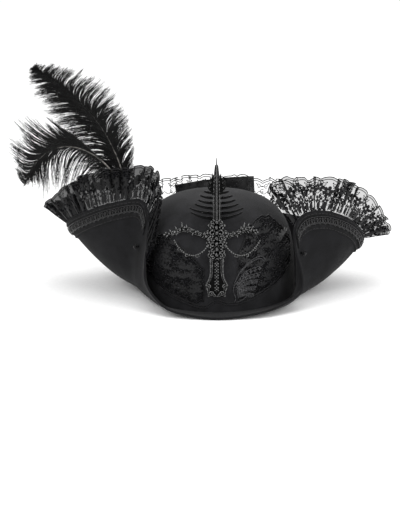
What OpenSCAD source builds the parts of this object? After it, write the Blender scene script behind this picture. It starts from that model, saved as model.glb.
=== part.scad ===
// Gothic tricorn pirate hat: felt crown and cocked brim, gathered lace, plumes, a bow and a screw-on cross badge.
// +Z is up, -Y is the front of the hat and +X is the wearer's left. Millimetres.
// The origin is the centre of the head opening, in the plane that the hat stands on.

/* [Head opening] */
// Inside width of the sweatband
head_w = 156; // [150:1:164]
// Inside length of the sweatband
head_l = 194; // [186:1:204]

/* [Crown] */
// Height of the crown above the opening
crown_h = 102; // [96:1:110]
// Thickness of the stiffened felt
felt_t = 2.4; // [1.8:0.1:3]
// Thickness of the satin lining
lining_t = 0.8; // [0.5:0.1:1.2]
// Thickness of the sweatband
band_t = 1.2; // [0.8:0.1:1.6]
// Height of the sweatband
band_h = 22; // [18:1:26]

// Rise of the opening's edge over the right temple
arch_rise = 8.5; // [0:1:9]

/* [Brim trim] */
// Width of the facing sewn round the brim's edge
facing_w = 20; // [14:1:24]
// Distance from the brim's edge to the braid
braid_in = 4.5; // [3:0.5:6]
// Width of the gimp braid
braid_w = 8.5; // [6:0.5:10]
// Width of the gathered lace past the brim's edge
ruffle_w = 38; // [30:1:42]

/* [Badge] */
// Height of the badge's lower screw post above the opening
post_low_z = 32; // [30:1:36]
// Distance between the two screw posts
post_gap = 22; // [20:1:24]
// Radius of a screw post
post_r = 1.5; // [1.2:0.1:1.8]
// Length of the spine above the cross
spine_l = 64; // [50:1:70]

/* [Plumes] */
// Height of the top of the plume socket
socket_top = 68; // [60:1:72]
// Radius of the wrapped plume stem
stem_r = 2.4; // [2:0.1:2.6]

/* [Bow] */
// Width of the satin ribbon
ribbon_w = 26; // [20:1:30]
// Reach of each loop from the knot
loop_reach = 43; // [36:1:48]

/* [Hidden] */
$fn = 32;

sew_gap = 0.15;                              // gap left between two layers that are sewn together
crown_n = 3.5;                                // how square the crown's profile is
skin = felt_t + lining_t + band_t + 2 * sew_gap;
rx = head_w / 2 + skin;                      // the crown's outside half width
ry = head_l / 2 + skin;                      // the crown's outside half length
around = 48;                                 // facets round the crown and up it
rings = 11;
root_gap = 1;                              // the seam between the crown and the brim's root
arch_azimuth = 288;                          // the middle and the half length of that rise
arch_half = 40;
brim_steps = 4;                              // sections of the brim between two rows of the table
profile_steps = 7;                           // facets from the brim's root to its edge

// The cocked brim, from the front round by +X to the back and home by -X. Each row is
// [azimuth, edge x, edge y, edge z, reach and lift of the trough, x, y, z of the lace]. The last
// three say which way the lace stands and how full its width is.
brim_rows = [
    [0,    0, -122,   0,  12, 0,    0,    0,    1],
    [20,  43, -115,   4,  13, 0,    0,    0,    1],
    [36,  67, -101,   9,  14, 0,    0,    0,    1],
    [46,  87,  -82,  18,  16, 0,    0,    0,    1],
    [54,  88,  -69,  37,  18, 0,   -0.3,  0.1,  0.7],
    [60,  82,  -62,  60,  20, 0,   -0.6,  0.15, 0.8],
    [66,  81,  -56,  80,  23, 0,   -0.75, 0.2,  0.95],
    [72,  91,  -46,  91,  28, 0,   -0.35, 0.15, 1],
    [79, 112,  -32,  91,  36, 0,    0.3,  0,    0.9],
    [86, 136,  -14,  80,  44, 0,    0.36, 0.05, 0.86],
    [94, 151,    4,  65,  47, 0,    0.6,  0.1,  0.55],
    [102, 156,  21,  50,  43, 0,    0.72, 0.25, 0.15],
    [114, 142,  49,  50,  33, 0,    0.55, 0.45, 0.45],
    [130, 110,  77,  56,  25, 0,    0.3,  0.35, 0.85],
    [148,  70,  99,  60,  20, 0,    0.1,  0.3,  0.9],
    [165,  34, 112,  62,  18, 0,    0,    0.25, 0.93],
    [180,   0, 116,  63,  18, 0,    0,    0.22, 0.94],
    [195, -34, 112,  62,  18, 0,    0,    0.25, 0.93],
    [212, -70,  99,  60,  20, 0,   -0.1,  0.3,  0.9],
    [230, -110, 77,  60,  24, 4,   -0.3,  0.35, 0.85],
    [246, -142, 49,  60,  31, 8,   -0.55, 0.4,  0.6],
    [258, -157, 21,  65,  36, 9,   -0.65, 0.15, 0.5],
    [266, -152,  3,  75,  36, 8,   -0.41, 0,    0.75],
    [274, -134, -15, 87,  32, 7,   -0.27, 0,    0.93],
    [281, -109, -33, 99,  25, 7,   -0.14, 0,    0.97],
    [288, -79,  -47, 106, 19, 7,    0.15, 0,    0.95],
    [294, -71,  -55, 94,  16, 6,    0.33, 0.1,  0.85],
    [300, -71,  -63, 70,  13, 6,    0.3,  0.1,  0.65],
    [306, -74,  -71, 46,  10, 6,    0.2,  0,    0.6],
    [314, -73,  -82, 28,   9, 7,    0,    0,    1],
    [324, -62,  -98, 14,  11, 4,    0,    0,    1],
    [340, -43, -114,  5,  13, 0,    0,    0,    1],
];
row_count = len(brim_rows);

// The rows where each wing's trim starts at its ridge and where it meets the back's.
right_ridge = 5.75;
right_corner = 12.5;
left_corner = 19.5;
left_ridge = 26.25;

// ---- helpers ----

// Row i of the brim's table, counted on past a full turn.
function row(i) =
    let (turn = floor(i / row_count), r = brim_rows[i - turn * row_count])
    [for (k = [0 : len(r) - 1]) k == 0 ? r[0] + 360 * turn : r[k]];

// Catmull-Rom between b and c.
function through(a, b, c, d, s) =
    0.5 * (2 * b + (c - a) * s + (2 * a - 5 * b + 4 * c - d) * s * s
        + (3 * b - a - 3 * c + d) * s * s * s);

// The brim's table at any place u between its rows.
function brim_at(u) =
    let (i = floor(u)) through(row(i - 1), row(i), row(i + 1), row(i + 2), u - i);

function unit(v) = v / norm(v);

// How far the opening's edge arches up over the wearer's right temple, at an azimuth.
function temple_arch(azimuth) =
    let (gap = (azimuth - arch_azimuth + 540) % 360 - 180)
    abs(gap) < arch_half ? arch_rise * pow(cos(90 * gap / arch_half), 2) : 0;

// Root, trough and edge of the brim's profile at row q.
function root_of(q) = [(rx + root_gap) * sin(q[0]), -(ry + root_gap) * cos(q[0]), temple_arch(q[0])];
function outward(q) = unit([sin(q[0]) / rx, -cos(q[0]) / ry, 0]);
function trough_of(q) = root_of(q) + q[4] * outward(q) + [0, 0, q[5]];
function edge_of(q) = [q[1], q[2], q[3]];

// The brim's outer surface at place u, t from its root to its edge.
function brim_point(u, t) =
    let (q = brim_at(u))
    (1 - t) * (1 - t) * root_of(q) + 2 * t * (1 - t) * trough_of(q) + t * t * edge_of(q);

// Its normal, which points away from the crown.
function brim_normal(u, t) =
    let (e = 0.02, lo = max(t - e, 0), hi = min(t + e, 1))
    unit(cross(brim_point(u + e, t) - brim_point(u - e, t), brim_point(u, hi) - brim_point(u, lo)));

// The t that lies w millimetres in from the edge.
function t_in(u, w) = let (q = brim_at(u)) 1 - w / (2 * norm(edge_of(q) - trough_of(q)));

// A point w in from the edge, off to the outside by d.
function brim_off(u, t, d) = brim_point(u, t) + d * brim_normal(u, t);

// A point out along the lace from the edge, off its middle by d.
function lace_point(u, out, d) =
    let (q = brim_at(u), flare = [q[6], q[7], q[8]],
         along = brim_point(u + 0.05, 1) - brim_point(u - 0.05, 1))
    brim_off(u, 1, -felt_t / 2) + out * flare + d * unit(cross(along, flare));

// The crown's surface for half axes a, b and height h, at an azimuth and a rise from 0 to 90.
function dome_point(a, b, h, azimuth, rise) =
    let (c = pow(max(cos(rise), 0), 2 / crown_n), s = pow(max(sin(rise), 0), 2 / crown_n))
    [a * c * sin(azimuth), -b * c * cos(azimuth), h * s];

// The rise at which a crown of height h reaches z.
function rise_at(h, z) = asin(pow(z / h, crown_n / 2));

// Cuts each four-sided face into two flat triangles.
function split(quads) = [for (q = quads) each [[q[0], q[1], q[2]], [q[0], q[2], q[3]]]];

// Skins a row of thin sections. Each is two chains of m points: outer first, then inner.
module skin_strip(sections, closed = false) {
    n = len(sections);
    m = len(sections[0]) / 2;
    loop = [for (j = [0 : m - 1]) j, for (j = [m - 1 : -1 : 0]) m + j];
    last = closed ? n - 1 : n - 2;
    quads = [
        for (i = [0 : last], j = [0 : 2 * m - 1])
            let (k = (i + 1) % n, a = loop[j], b = loop[(j + 1) % (2 * m)])
            [i * 2 * m + a, i * 2 * m + b, k * 2 * m + b, k * 2 * m + a],
        if (!closed) for (j = [0 : m - 2]) [j, m + j, m + j + 1, j + 1],
        if (!closed) for (j = [0 : m - 2])
            let (o = (n - 1) * 2 * m) [o + j, o + j + 1, o + m + j + 1, o + m + j],
    ];
    polyhedron([for (s = sections) each s], split(quads), 4);
}

// A strip that lies on the brim's outside, from w1 to w0 in from its edge and d0 to d1 off it.
module brim_strip(u0, u1, w0, w1, d0, d1, steps) {
    count = ceil((u1 - u0) * brim_steps);
    skin_strip([for (i = [0 : count])
        let (u = u0 + (u1 - u0) * i / count)
        [for (d = [d1, d0], j = [0 : steps]) brim_off(u, t_in(u, w1 + (w0 - w1) * j / steps), d)]]);
}

// The gathered lace's envelope from u0 to u1.
module lace_band(u0, u1) {
    root_half = 0.6;
    tip_half = 3;
    count = ceil((u1 - u0) * brim_steps);
    skin_strip([for (i = [0 : count])
        let (u = u0 + (u1 - u0) * i / count)
        [for (side = [1, -1], j = [0 : 2])
            lace_point(u, 2.5 + (ruffle_w - 2.5) * j / 2, side * (root_half + (tip_half - root_half) * j / 2))]]);
}

// A crown surface's grid point at an azimuth, i rings up from height z0. Rings lie closer together
// at the foot and the top, where equal steps of rise are far apart.
function dome_grid(a, b, h, z0, azimuth, i) =
    let (from = rise_at(h, z0 + temple_arch(azimuth)), s = (1 - cos(180 * i / rings)) / 2)
    dome_point(a, b, h, azimuth, from + (90 - from) * s);

// A closed dome shell between two crown surfaces, from height z0 up.
module dome_shell(a, b, h, t, z0) {
    sizes = [[a, b, h], [a - t, b - t, h - t]];
    points = [for (s = sizes, i = [0 : rings - 1], k = [0 : around - 1])
        dome_grid(s[0], s[1], s[2], z0, 360 * k / around, i)];
    poles = [[0, 0, h], [0, 0, h - t]];
    inner = rings * around;
    top = 2 * inner;
    faces = [for (i = [0 : rings - 2], k = [0 : around - 1])
        let (l = (k + 1) % around, p = i * around)
        each [[p + k, p + around + k, p + around + l, p + l],
              [inner + p + k, inner + p + l, inner + p + around + l, inner + p + around + k]]];
    caps = [for (k = [0 : around - 1])
        let (l = (k + 1) % around, p = (rings - 1) * around)
        each [[p + k, top, p + l], [inner + p + k, inner + p + l, top + 1],
              [k, l, inner + l], [k, inner + l, inner + k]]];
    polyhedron(concat(points, poles), concat(split(faces), caps), 4);
}

// A tube of n sides swept along points, its radius going from r0 to r1.
module swept_tube(points, r0, r1, n) {
    count = len(points);
    rings = [for (i = [0 : count - 1])
        let (along = unit(points[min(i + 1, count - 1)] - points[max(i - 1, 0)]),
             across = unit(cross(along, [0, 1, 0.01])),
             other = cross(along, across),
             r = r0 + (r1 - r0) * i / (count - 1))
        [for (k = [0 : n - 1]) points[i] + r * (cos(360 * k / n) * across + sin(360 * k / n) * other)]];
    sides = [for (i = [0 : count - 2], k = [0 : n - 1])
        let (l = (k + 1) % n) [i * n + k, (i + 1) * n + k, (i + 1) * n + l, i * n + l]];
    ends = [[for (k = [0 : n - 1]) k], [for (k = [n - 1 : -1 : 0]) (count - 1) * n + k]];
    polyhedron([for (ring = rings) each ring], concat(split(sides), ends), 4);
}

// A smooth line of n pieces through points a, b, c and d.
function curve4(a, b, c, d, n) = [for (i = [0 : n])
    let (s = i / n, r = 1 - s) r * r * r * a + 3 * r * r * s * b + 3 * r * s * s * c + s * s * s * d];

// Turns +Z to a direction.
module towards(v) {
    rotate([0, acos(v[2]), atan2(v[1], v[0])]) children();
}

// ---- felt, lining and trim ----

post_z = [post_low_z, post_low_z + post_gap];
post_hole_r = post_r + 0.25;

// The two holes that the badge's posts pass through.
module post_holes() {
    for (z = post_z)
        translate([0, -ry - 5, z]) rotate([-90, 0, 0]) cylinder(r = post_hole_r, h = 60);
}

module crown() color([0.13, 0.13, 0.13]) difference() {
    dome_shell(rx, ry, crown_h, felt_t, 0);
    post_holes();
}

module crown_lining() color([0.07, 0.07, 0.08]) difference() {
    inset = felt_t + sew_gap;
    dome_shell(rx - inset, ry - inset, crown_h - inset, lining_t, 3);
    post_holes();
}

module sweatband() color([0.09, 0.09, 0.09]) {
    inset = felt_t + lining_t + 2 * sew_gap;
    skin_strip([for (k = [0 : around - 1])
        let (azimuth = 360 * k / around)
        [for (t = [0, band_t], z = [0.6, band_h / 2, band_h])
            let (h = crown_h - inset - t)
            dome_point(rx - inset - t, ry - inset - t, h, azimuth, rise_at(h, z + temple_arch(azimuth)))]],
        closed = true);
}

module brim() color([0.13, 0.13, 0.13])
    skin_strip([for (i = [0 : row_count * brim_steps - 1])
        let (u = i / brim_steps)
        [for (d = [0, -felt_t], j = [0 : profile_steps]) brim_off(u, j / profile_steps, d)]],
        closed = true);

facing_t = 0.9;
braid_t = 1.3;

module facing(u0, u1) color([0.12, 0.12, 0.12])
    brim_strip(u0, u1, 0.5, facing_w, 2 * sew_gap, 2 * sew_gap + facing_t, 3);
module facing_right() facing(right_ridge, right_corner);
module facing_left() facing(left_corner, left_ridge);
module facing_back() facing(right_corner + 0.02, left_corner - 0.02);

module braid(u0, u1) color([0.08, 0.08, 0.08])
    brim_strip(u0, u1, braid_in, braid_in + braid_w, 4 * sew_gap + facing_t, 4 * sew_gap + facing_t + braid_t, 1);
module braid_right() braid(right_ridge, right_corner);
module braid_left() braid(left_corner, left_ridge);
module braid_back() braid(right_corner + 0.02, left_corner - 0.02);

module ruffle_right() color([0.1, 0.1, 0.1]) lace_band(right_ridge + 0.2, right_corner - 0.1);
module ruffle_left() color([0.1, 0.1, 0.1]) lace_band(left_corner + 0.1, left_ridge + 1.75);
module ruffle_back() color([0.1, 0.1, 0.1]) lace_band(right_corner, left_corner);

// A lace motif sewn on the crown, over the facets from column k0 to k1 and ring i0 to i1.
module applique(k0, k1, i0, i1) color([0.06, 0.06, 0.06]) {
    off = 0.15;
    thick = 0.9;
    skin_strip([for (k = [k0 : k1])
        [for (d = [off + thick, off], i = [i0 : i1])
            dome_grid(rx + d, ry + d, crown_h + d, 0, 360 * k / around, i)]]);
}
module applique_right() applique(2, 10, 1, 7);
module applique_left() applique(-9, -2, 1, 7);

// A domed button on the brim's outside whose thread shank ties the wing to the crown.
module tack_button(u, t, shank) color([0.05, 0.05, 0.05]) {
    button_r = 3.4;
    button_h = 2.2;
    thread_r = 0.8;
    normal = brim_normal(u, t);
    translate(brim_point(u, t)) towards(normal) {
        translate([0, 0, 0.1]) cylinder(r = button_r, h = button_h);
        translate([0, 0, -shank]) cylinder(r = thread_r, h = shank + 0.2);
    }
}
module tack_button_right() tack_button(6.1, 0.8, 12);
module tack_button_left() tack_button(25.9, 0.74, 11);

// ---- bow ----

bow_y = 126;
bow_z = 64;
ribbon_t = 1.2;
knot_d = 9;

// Moves to the middle of the bow, which leans back with the lace.
module at_bow() {
    translate([0, bow_y, bow_z + ribbon_w / 2]) rotate([-13, 0, 0]) children();
}

// Half a bow: a flattened ribbon loop that opens up and down.
module bow_loop(side, tilt) color([0.04, 0.04, 0.045])
    at_bow() rotate([0, tilt * -side, 0])
        translate([0, 0, -ribbon_w / 2]) linear_extrude(ribbon_w) {
            points = [[4.6, -1.6], [16, -4.6], [34, -4.8], [loop_reach - 2, -3], [loop_reach, 0],
                      [loop_reach - 2, 3], [34, 4.8], [16, 4.6], [4.6, 1.6]];
            difference() {
                polygon([for (p = points) [side * p[0], p[1]]]);
                polygon([for (p = points) [side * (6 + (p[0] - 4.6) * (loop_reach - 2 * ribbon_t - 5) / (loop_reach - 4.6)),
                                           p[1] * (1 - ribbon_t / 4.8)]]);
            }
        }
module bow_loop_right() bow_loop(1, 3);
module bow_loop_left() bow_loop(-1, -10);

module bow_knot() color([0.04, 0.04, 0.045])
    at_bow() translate([0, 0, -7]) cylinder(d = knot_d, h = 14);

// A ribbon end that hangs down the back of the brim.
module bow_tail(side) color([0.04, 0.04, 0.045])
    translate([side * 7, bow_y - 5, bow_z + 3]) rotate([0, side * -14, 0]) rotate([90, 0, 0])
        linear_extrude(ribbon_t)
            polygon([[-8, -54], [0, -46], [8, -54], [8, -6], [3, 0], [-3, 0], [-8, -6]]);
module bow_tail_right() bow_tail(1);
module bow_tail_left() bow_tail(-1);

// ---- badge ----

plate_y = -ry - 3.4;                         // the back plate's rear face
plate_t = 1.2;
rail_t = 2.4;
shaft_low = 20;
shaft_top = 58;
boss_tilt = 30;                              // how far the upper cross leans back over the crown
lean = 18;                                   // how far the spine leans back

// Half the shaft's outline: [half width, height], narrow at the waist and wide at the foot.
shaft_outline = [[8.4, shaft_low], [9.8, 26], [11.2, 32], [8, 40], [7, 48], [7.2, shaft_top]];

module shaft_shape(inset) {
    half = [for (p = shaft_outline) [p[0] - inset, p[1]]];
    polygon([each half, for (i = [len(half) - 1 : -1 : 0]) [-half[i][0], half[i][1]]]);
}

// Stands a shape drawn in X and Z up, its front t before y.
module plate_at(y, t) {
    translate([0, y, 0]) rotate([90, 0, 0]) linear_extrude(t) children();
}

module badge_back_plate() color([0.05, 0.05, 0.05])
    plate_at(plate_y, plate_t) shaft_shape(0.3);

module badge_rails() color([0.22, 0.22, 0.23])
    plate_at(plate_y - plate_t, rail_t) difference() {
        shaft_shape(0);
        translate([0, 4]) shaft_shape(2);
    }

module badge_florets() color([0.3, 0.3, 0.3])
    for (z = [28, 34.5, 41, 47, 53])
        translate([0, plate_y - plate_t, z]) rotate([90, 0, 0]) {
            petal_r = 1.3;
            for (turn = [0 : 90 : 270])
                rotate([0, 0, turn + 45]) translate([1.6, 0, 0]) cylinder(r = petal_r, h = 1.6);
            cylinder(r = 1.3, h = 2.6);
        }

// Moves to the cross's middle, leaning back with the crown. X and Y are its face, Z its front.
module at_boss() {
    translate([0, -ry - 2.5, shaft_top - 2]) rotate([90 - boss_tilt, 0, 0]) children();
}

module badge_boss() color([0.28, 0.28, 0.29]) at_boss()
    linear_extrude(4) polygon([
        [-6, 0], [-8.5, 6], [-7, 12], [-10, 17], [-9, 24], [-12, 29], [-7, 33], [-8, 38], [-3.5, 44],
        [3.5, 44], [8, 38], [7, 33], [12, 29], [9, 24], [10, 17], [7, 12], [8.5, 6], [6, 0]]);

// A scrolled arm that sweeps back round the crown.
arm_sweep = 20;
module badge_arm(side, rise, length) color([0.33, 0.33, 0.34])
    at_boss() translate([side * 7.5, 27, 2.4]) rotate([0, side * arm_sweep, side * rise])
        linear_extrude(3, center = true) {
            wave = [[0, -3.2], [length * 0.3, -1.5], [length * 0.55, -2.6], [length * 0.8, -4], [length, -3],
                    [length * 0.86, 0.5], [length * 0.62, 3.6], [length * 0.5, 2.6], [length * 0.25, 3], [0, 3.4]];
            polygon([for (p = wave) [side * p[0], p[1]]]);
        }
module badge_arm_right() badge_arm(1, 12, 36);
module badge_arm_left() badge_arm(-1, 10, 48);

// A beaded chain that hangs from the boss to the end of an arm.
module badge_swag(side, reach) color([0.3, 0.3, 0.3])
    swept_tube(curve4([side * 9, -ry - 1, 72], [side * reach * 0.45, -ry - 4, 56],
                      [side * reach * 0.8, -ry + 6, 58], [side * reach, -ry + 19, 73], 10), 1.1, 1.1, 6);
module badge_swag_right() badge_swag(1, 44);
module badge_swag_left() badge_swag(-1, 43);

// Moves to the foot of the spine. Z runs up the spine and Y to its front.
module at_spine() {
    translate([0, -80, 92]) rotate([-lean, 0, 0]) children();
}

module badge_spine() color([0.16, 0.16, 0.17]) at_spine()
    rotate([90, 0, 0]) linear_extrude(3, center = true)
        polygon([[-3.6, 0], [-3.9, 22], [-3, 44], [-1.8, 46], [-0.5, spine_l], [0.5, spine_l], [1.8, 46], [3, 44],
                 [3.9, 22], [3.6, 0]]);

// Two swept claws where the ribs end.
module badge_collar() color([0.14, 0.14, 0.15]) at_spine()
    rotate([90, 0, 0]) linear_extrude(5, center = true)
        for (side = [-1, 1])
            polygon([for (p = [[2.6, 28], [6, 31], [9.5, 36], [8, 39], [6, 42], [4.4, 47], [3, 44]]) [side * p[0], p[1]]]);

rib_lengths = [27, 28, 23, 20, 17, 13];
// Ribs that spring from the spine and curve up and back over the crown.
module badge_ribs(side) color([0.15, 0.15, 0.16])
    for (i = [0 : 5])
        at_spine() {
            z = 3 + 5.2 * i;
            l = rib_lengths[i];
            swept_tube([for (s = [0 : 0.25 : 1])
                [side * (3 + (l - 3) * s), 1.2 + 5 * s * s, z + (8 - i) * s * s - 1.5 * s]], 1.1, 0.35, 6);
        }
module badge_ribs_right() badge_ribs(1);
module badge_ribs_left() badge_ribs(-1);

post_l = 16;
module badge_posts() color([0.5, 0.5, 0.5])
    for (z = post_z)
        translate([0, plate_y, z]) rotate([-90, 0, 0]) cylinder(r = post_r, h = post_l);

// A knurled nut that grips a post inside the crown.
module post_nut(z, y) color([0.5, 0.5, 0.5])
    translate([0, y, z]) rotate([-90, 0, 0]) difference() {
        union() {
            cylinder(r = 3.6, h = 3.4);
            cylinder(r = 5, h = 1);
        }
        translate([0, 0, -1]) cylinder(r = post_r + 0.06, h = 8);
    }
module post_nut_lower() post_nut(post_z[0], -ry + 5.2);
module post_nut_upper() post_nut(post_z[1], -ry + 9.6);

// ---- plumes ----

socket_x = -90;
socket_low = 26;
socket_r = 4.2;

// A stitched tube on the side of the crown that takes the plumes' stem.
module plume_socket() color([0.08, 0.08, 0.08]) difference() {
    union() {
        translate([socket_x, 0, socket_low]) cylinder(r = socket_r, h = socket_top - socket_low);
        translate([socket_x, -6, socket_low + 4]) cube([-rx - 0.1 - socket_x, 12, 16]);
    }
    translate([socket_x, 0, socket_low + 2]) cylinder(r = stem_r + 0.1, h = socket_top);
}

module plume_stem() color([0.06, 0.06, 0.06])
    translate([socket_x, 0, socket_low + 2.1]) cylinder(r = stem_r, h = 56);

stem_top = [socket_x, 0, socket_low + 56];

module plume_tall_quill() color([0.35, 0.33, 0.3])
    swept_tube(curve4(stem_top + [0, 1.5, 0], [-97, 7, 145], [-118, 13, 190], [-188, 15, 233], 18), 1.5, 0.4, 8);

module plume_curled_quill() color([0.2, 0.19, 0.18])
    swept_tube(curve4(stem_top + [0, -1.5, 0], [-100, -3, 150], [-172, -3, 185], [-198, -3, 116], 18), 1.3, 0.4, 8);

// A plume's vane as a leaf of even thickness.
module vane(outline, y, thick) color([0.05, 0.05, 0.05])
    translate([0, y + thick, 0]) rotate([90, 0, 0]) linear_extrude(thick) polygon(outline);

module plume_tall_vane() vane([
    [-92, 128], [-86, 150], [-86, 174], [-95, 196], [-111, 212], [-134, 226], [-162, 233], [-192, 234],
    [-195, 224], [-192, 205], [-176, 190], [-160, 172], [-140, 156], [-118, 140], [-104, 128]], 4, 17);

module plume_curled_vane() vane([
    [-108, 120], [-112, 134], [-126, 146], [-146, 158], [-176, 184], [-196, 186], [-208, 165], [-214, 142],
    [-208, 118], [-196, 112], [-180, 116], [-164, 122], [-146, 128], [-130, 122]], -9, 12);

crown();
crown_lining();
sweatband();
brim();
facing_right();
facing_left();
facing_back();
braid_right();
braid_left();
braid_back();
ruffle_right();
ruffle_left();
ruffle_back();
applique_right();
applique_left();
tack_button_right();
tack_button_left();
bow_loop_right();
bow_loop_left();
bow_knot();
bow_tail_right();
bow_tail_left();
plume_socket();
badge_back_plate();
badge_rails();
badge_florets();
badge_boss();
badge_arm_right();
badge_arm_left();
badge_swag_right();
badge_swag_left();
badge_spine();
badge_collar();
badge_ribs_right();
badge_ribs_left();
badge_posts();
post_nut_upper();
post_nut_lower();
plume_stem();
plume_tall_quill();
plume_tall_vane();
plume_curled_quill();
plume_curled_vane();
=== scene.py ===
"""Looks for a gothic tricorn pirate hat: wool felt, gathered lace, gimp braid, ostrich plumes,
a satin bow and a cast cross badge. Shapes are worked out in millimetres and made in metres.
-Y is the front of the hat, +X the wearer's left and +Z is up."""
import math

import bmesh
import bpy
import numpy as np
from mathutils import Matrix, Vector


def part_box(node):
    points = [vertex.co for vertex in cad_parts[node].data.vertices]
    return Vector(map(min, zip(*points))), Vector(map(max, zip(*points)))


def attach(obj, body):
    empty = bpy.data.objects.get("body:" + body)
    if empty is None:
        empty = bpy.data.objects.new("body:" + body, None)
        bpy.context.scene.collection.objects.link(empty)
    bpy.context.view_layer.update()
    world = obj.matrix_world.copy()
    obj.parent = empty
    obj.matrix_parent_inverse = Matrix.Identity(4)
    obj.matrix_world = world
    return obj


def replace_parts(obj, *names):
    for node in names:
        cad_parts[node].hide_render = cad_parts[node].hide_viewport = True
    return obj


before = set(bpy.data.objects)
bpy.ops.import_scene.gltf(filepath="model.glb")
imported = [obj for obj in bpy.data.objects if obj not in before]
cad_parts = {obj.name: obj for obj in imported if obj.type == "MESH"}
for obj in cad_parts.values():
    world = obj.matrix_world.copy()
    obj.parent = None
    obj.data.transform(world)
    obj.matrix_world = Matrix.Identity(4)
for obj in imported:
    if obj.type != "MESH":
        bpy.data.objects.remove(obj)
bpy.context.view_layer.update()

MM = 0.001

# ---------------------------------------------------------------- camera, floor and light

CAMERA_RISE = math.radians(14)       # how far above level the camera looks from
CAMERA_AWAY = 2.45
CAMERA_LENS = 158
SEEN_CENTRE = Vector((-0.0168, 0, 0.0258))


def make_camera():
    data = bpy.data.cameras.new("camera")
    data.lens = CAMERA_LENS
    data.sensor_width = 36
    camera = bpy.data.objects.new("camera", data)
    bpy.context.scene.collection.objects.link(camera)
    away = Vector((0, -math.cos(CAMERA_RISE), math.sin(CAMERA_RISE)))
    camera.location = SEEN_CENTRE + CAMERA_AWAY * away
    camera.rotation_euler = away.to_track_quat("Z", "Y").to_euler()
    bpy.context.scene.camera = camera


def softbox(name, place, size, power):
    """A square lamp that faces the hat."""
    data = bpy.data.lights.new(name, "AREA")
    data.size = size
    data.energy = power
    lamp = bpy.data.objects.new(name, data)
    bpy.context.scene.collection.objects.link(lamp)
    lamp.location = place
    lamp.rotation_euler = (Vector(place) - Vector((0, 0, 0.08))).to_track_quat("Z", "Y").to_euler()


def make_studio():
    world = bpy.data.worlds.new("studio")
    world.use_nodes = True
    world.node_tree.nodes["Background"].inputs["Color"].default_value = (1, 1, 1, 1)
    world.node_tree.nodes["Background"].inputs["Strength"].default_value = 0.95
    bpy.context.scene.world = world
    bpy.context.scene.view_settings.view_transform = "Standard"
    softbox("key", (-1.3, -1.5, 1.5), 1.2, 15)
    softbox("fill", (1.5, -1.3, 1.0), 1.2, 13)
    softbox("top", (0.1, 0.1, 1.9), 1.6, 12)
    bpy.ops.mesh.primitive_plane_add(size=16, location=(0, 0, -0.0005))
    floor = bpy.context.object
    floor.name = "floor"
    floor.data.materials.append(paper_floor())


# ---------------------------------------------------------------- materials

def linear(hex_colour):
    """A colour such as "1c1c1e" as the linear values that a shader takes."""
    values = [int(hex_colour[i:i + 2], 16) / 255 for i in (0, 2, 4)]
    return (*[v / 12.92 if v <= 0.04045 else ((v + 0.055) / 1.055) ** 2.4 for v in values], 1)


def add_node(tree, kind, settings=None, **links):
    """Adds one node. Settings name its properties or sockets, links join its sockets to others."""
    node = tree.nodes.new(kind)
    for key, value in (settings or {}).items():
        if isinstance(key, str) and hasattr(node, key):
            setattr(node, key, value)
        else:
            node.inputs[key].default_value = value
    for key, source in links.items():
        tree.links.new(source, node.inputs[key.replace("_", " ")])
    return node


def start_material(name, **sockets):
    """A material with one Principled shader, whose even values are set on its own sockets."""
    material = bpy.data.materials.new(name)
    material.use_nodes = True
    tree = material.node_tree
    shader = tree.nodes["Principled BSDF"]
    for key, value in sockets.items():
        shader.inputs[key.replace("_", " ")].default_value = value
    place = add_node(tree, "ShaderNodeTexCoord").outputs["Object"]
    return material, tree, shader, place


def dress(tree, shader, tone, dark, light, stops=(0.35, 0.65), relief=None, depth_mm=0.0, strength=1.0):
    """Colours a shader from dark to light by one pattern, and lets another stand depth_mm proud."""
    ramp = add_node(tree, "ShaderNodeValToRGB", Fac=tone)
    for element, stop, colour in zip(ramp.color_ramp.elements, stops, (dark, light)):
        element.position = stop
        element.color = linear(colour)
    tree.links.new(ramp.outputs["Color"], shader.inputs["Base Color"])
    if relief is not None:
        bump = add_node(tree, "ShaderNodeBump", {"Strength": strength, "Distance": depth_mm * MM}, Height=relief)
        tree.links.new(bump.outputs["Normal"], shader.inputs["Normal"])


def per_mm(size_mm):
    """The texture scale at which a pattern's feature is size_mm across."""
    return 1 / (size_mm * MM)


def paper_floor():
    """Studio paper: matt and nearly white, with a faint tooth."""
    material, tree, shader, place = start_material("studio_paper", Roughness=0.9)
    tooth = add_node(tree, "ShaderNodeTexNoise", {"Scale": per_mm(4)}, Vector=place).outputs["Fac"]
    dress(tree, shader, tooth, "fbfbfb", "ffffff")
    return material


def wool_felt(name, dark, light):
    """Blocked wool felt: matted fibres about 0.6 mm apart give a dry, slightly cloudy black with a soft nap."""
    material, tree, shader, place = start_material(
        name, Roughness=0.95, Sheen_Weight=0.06, Sheen_Roughness=0.4, Specular_IOR_Level=0.15)
    cloud = add_node(tree, "ShaderNodeTexNoise", {"Scale": per_mm(14), "Detail": 3.0}, Vector=place).outputs["Fac"]
    fibre = add_node(tree, "ShaderNodeTexNoise", {"Scale": per_mm(0.9), "Detail": 4.0, "Roughness": 0.7},
                     Vector=place).outputs["Fac"]
    both = add_node(tree, "ShaderNodeMath", {"operation": "MULTIPLY_ADD", 1: 0.45})
    tree.links.new(cloud, both.inputs[0])
    half = add_node(tree, "ShaderNodeMath", {"operation": "MULTIPLY", 1: 0.55})
    tree.links.new(fibre, half.inputs[0])
    tree.links.new(half.outputs[0], both.inputs[2])
    dress(tree, shader, both.outputs[0], dark, light, (0.38, 0.62), fibre, 0.5, 0.6)
    return material


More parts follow.
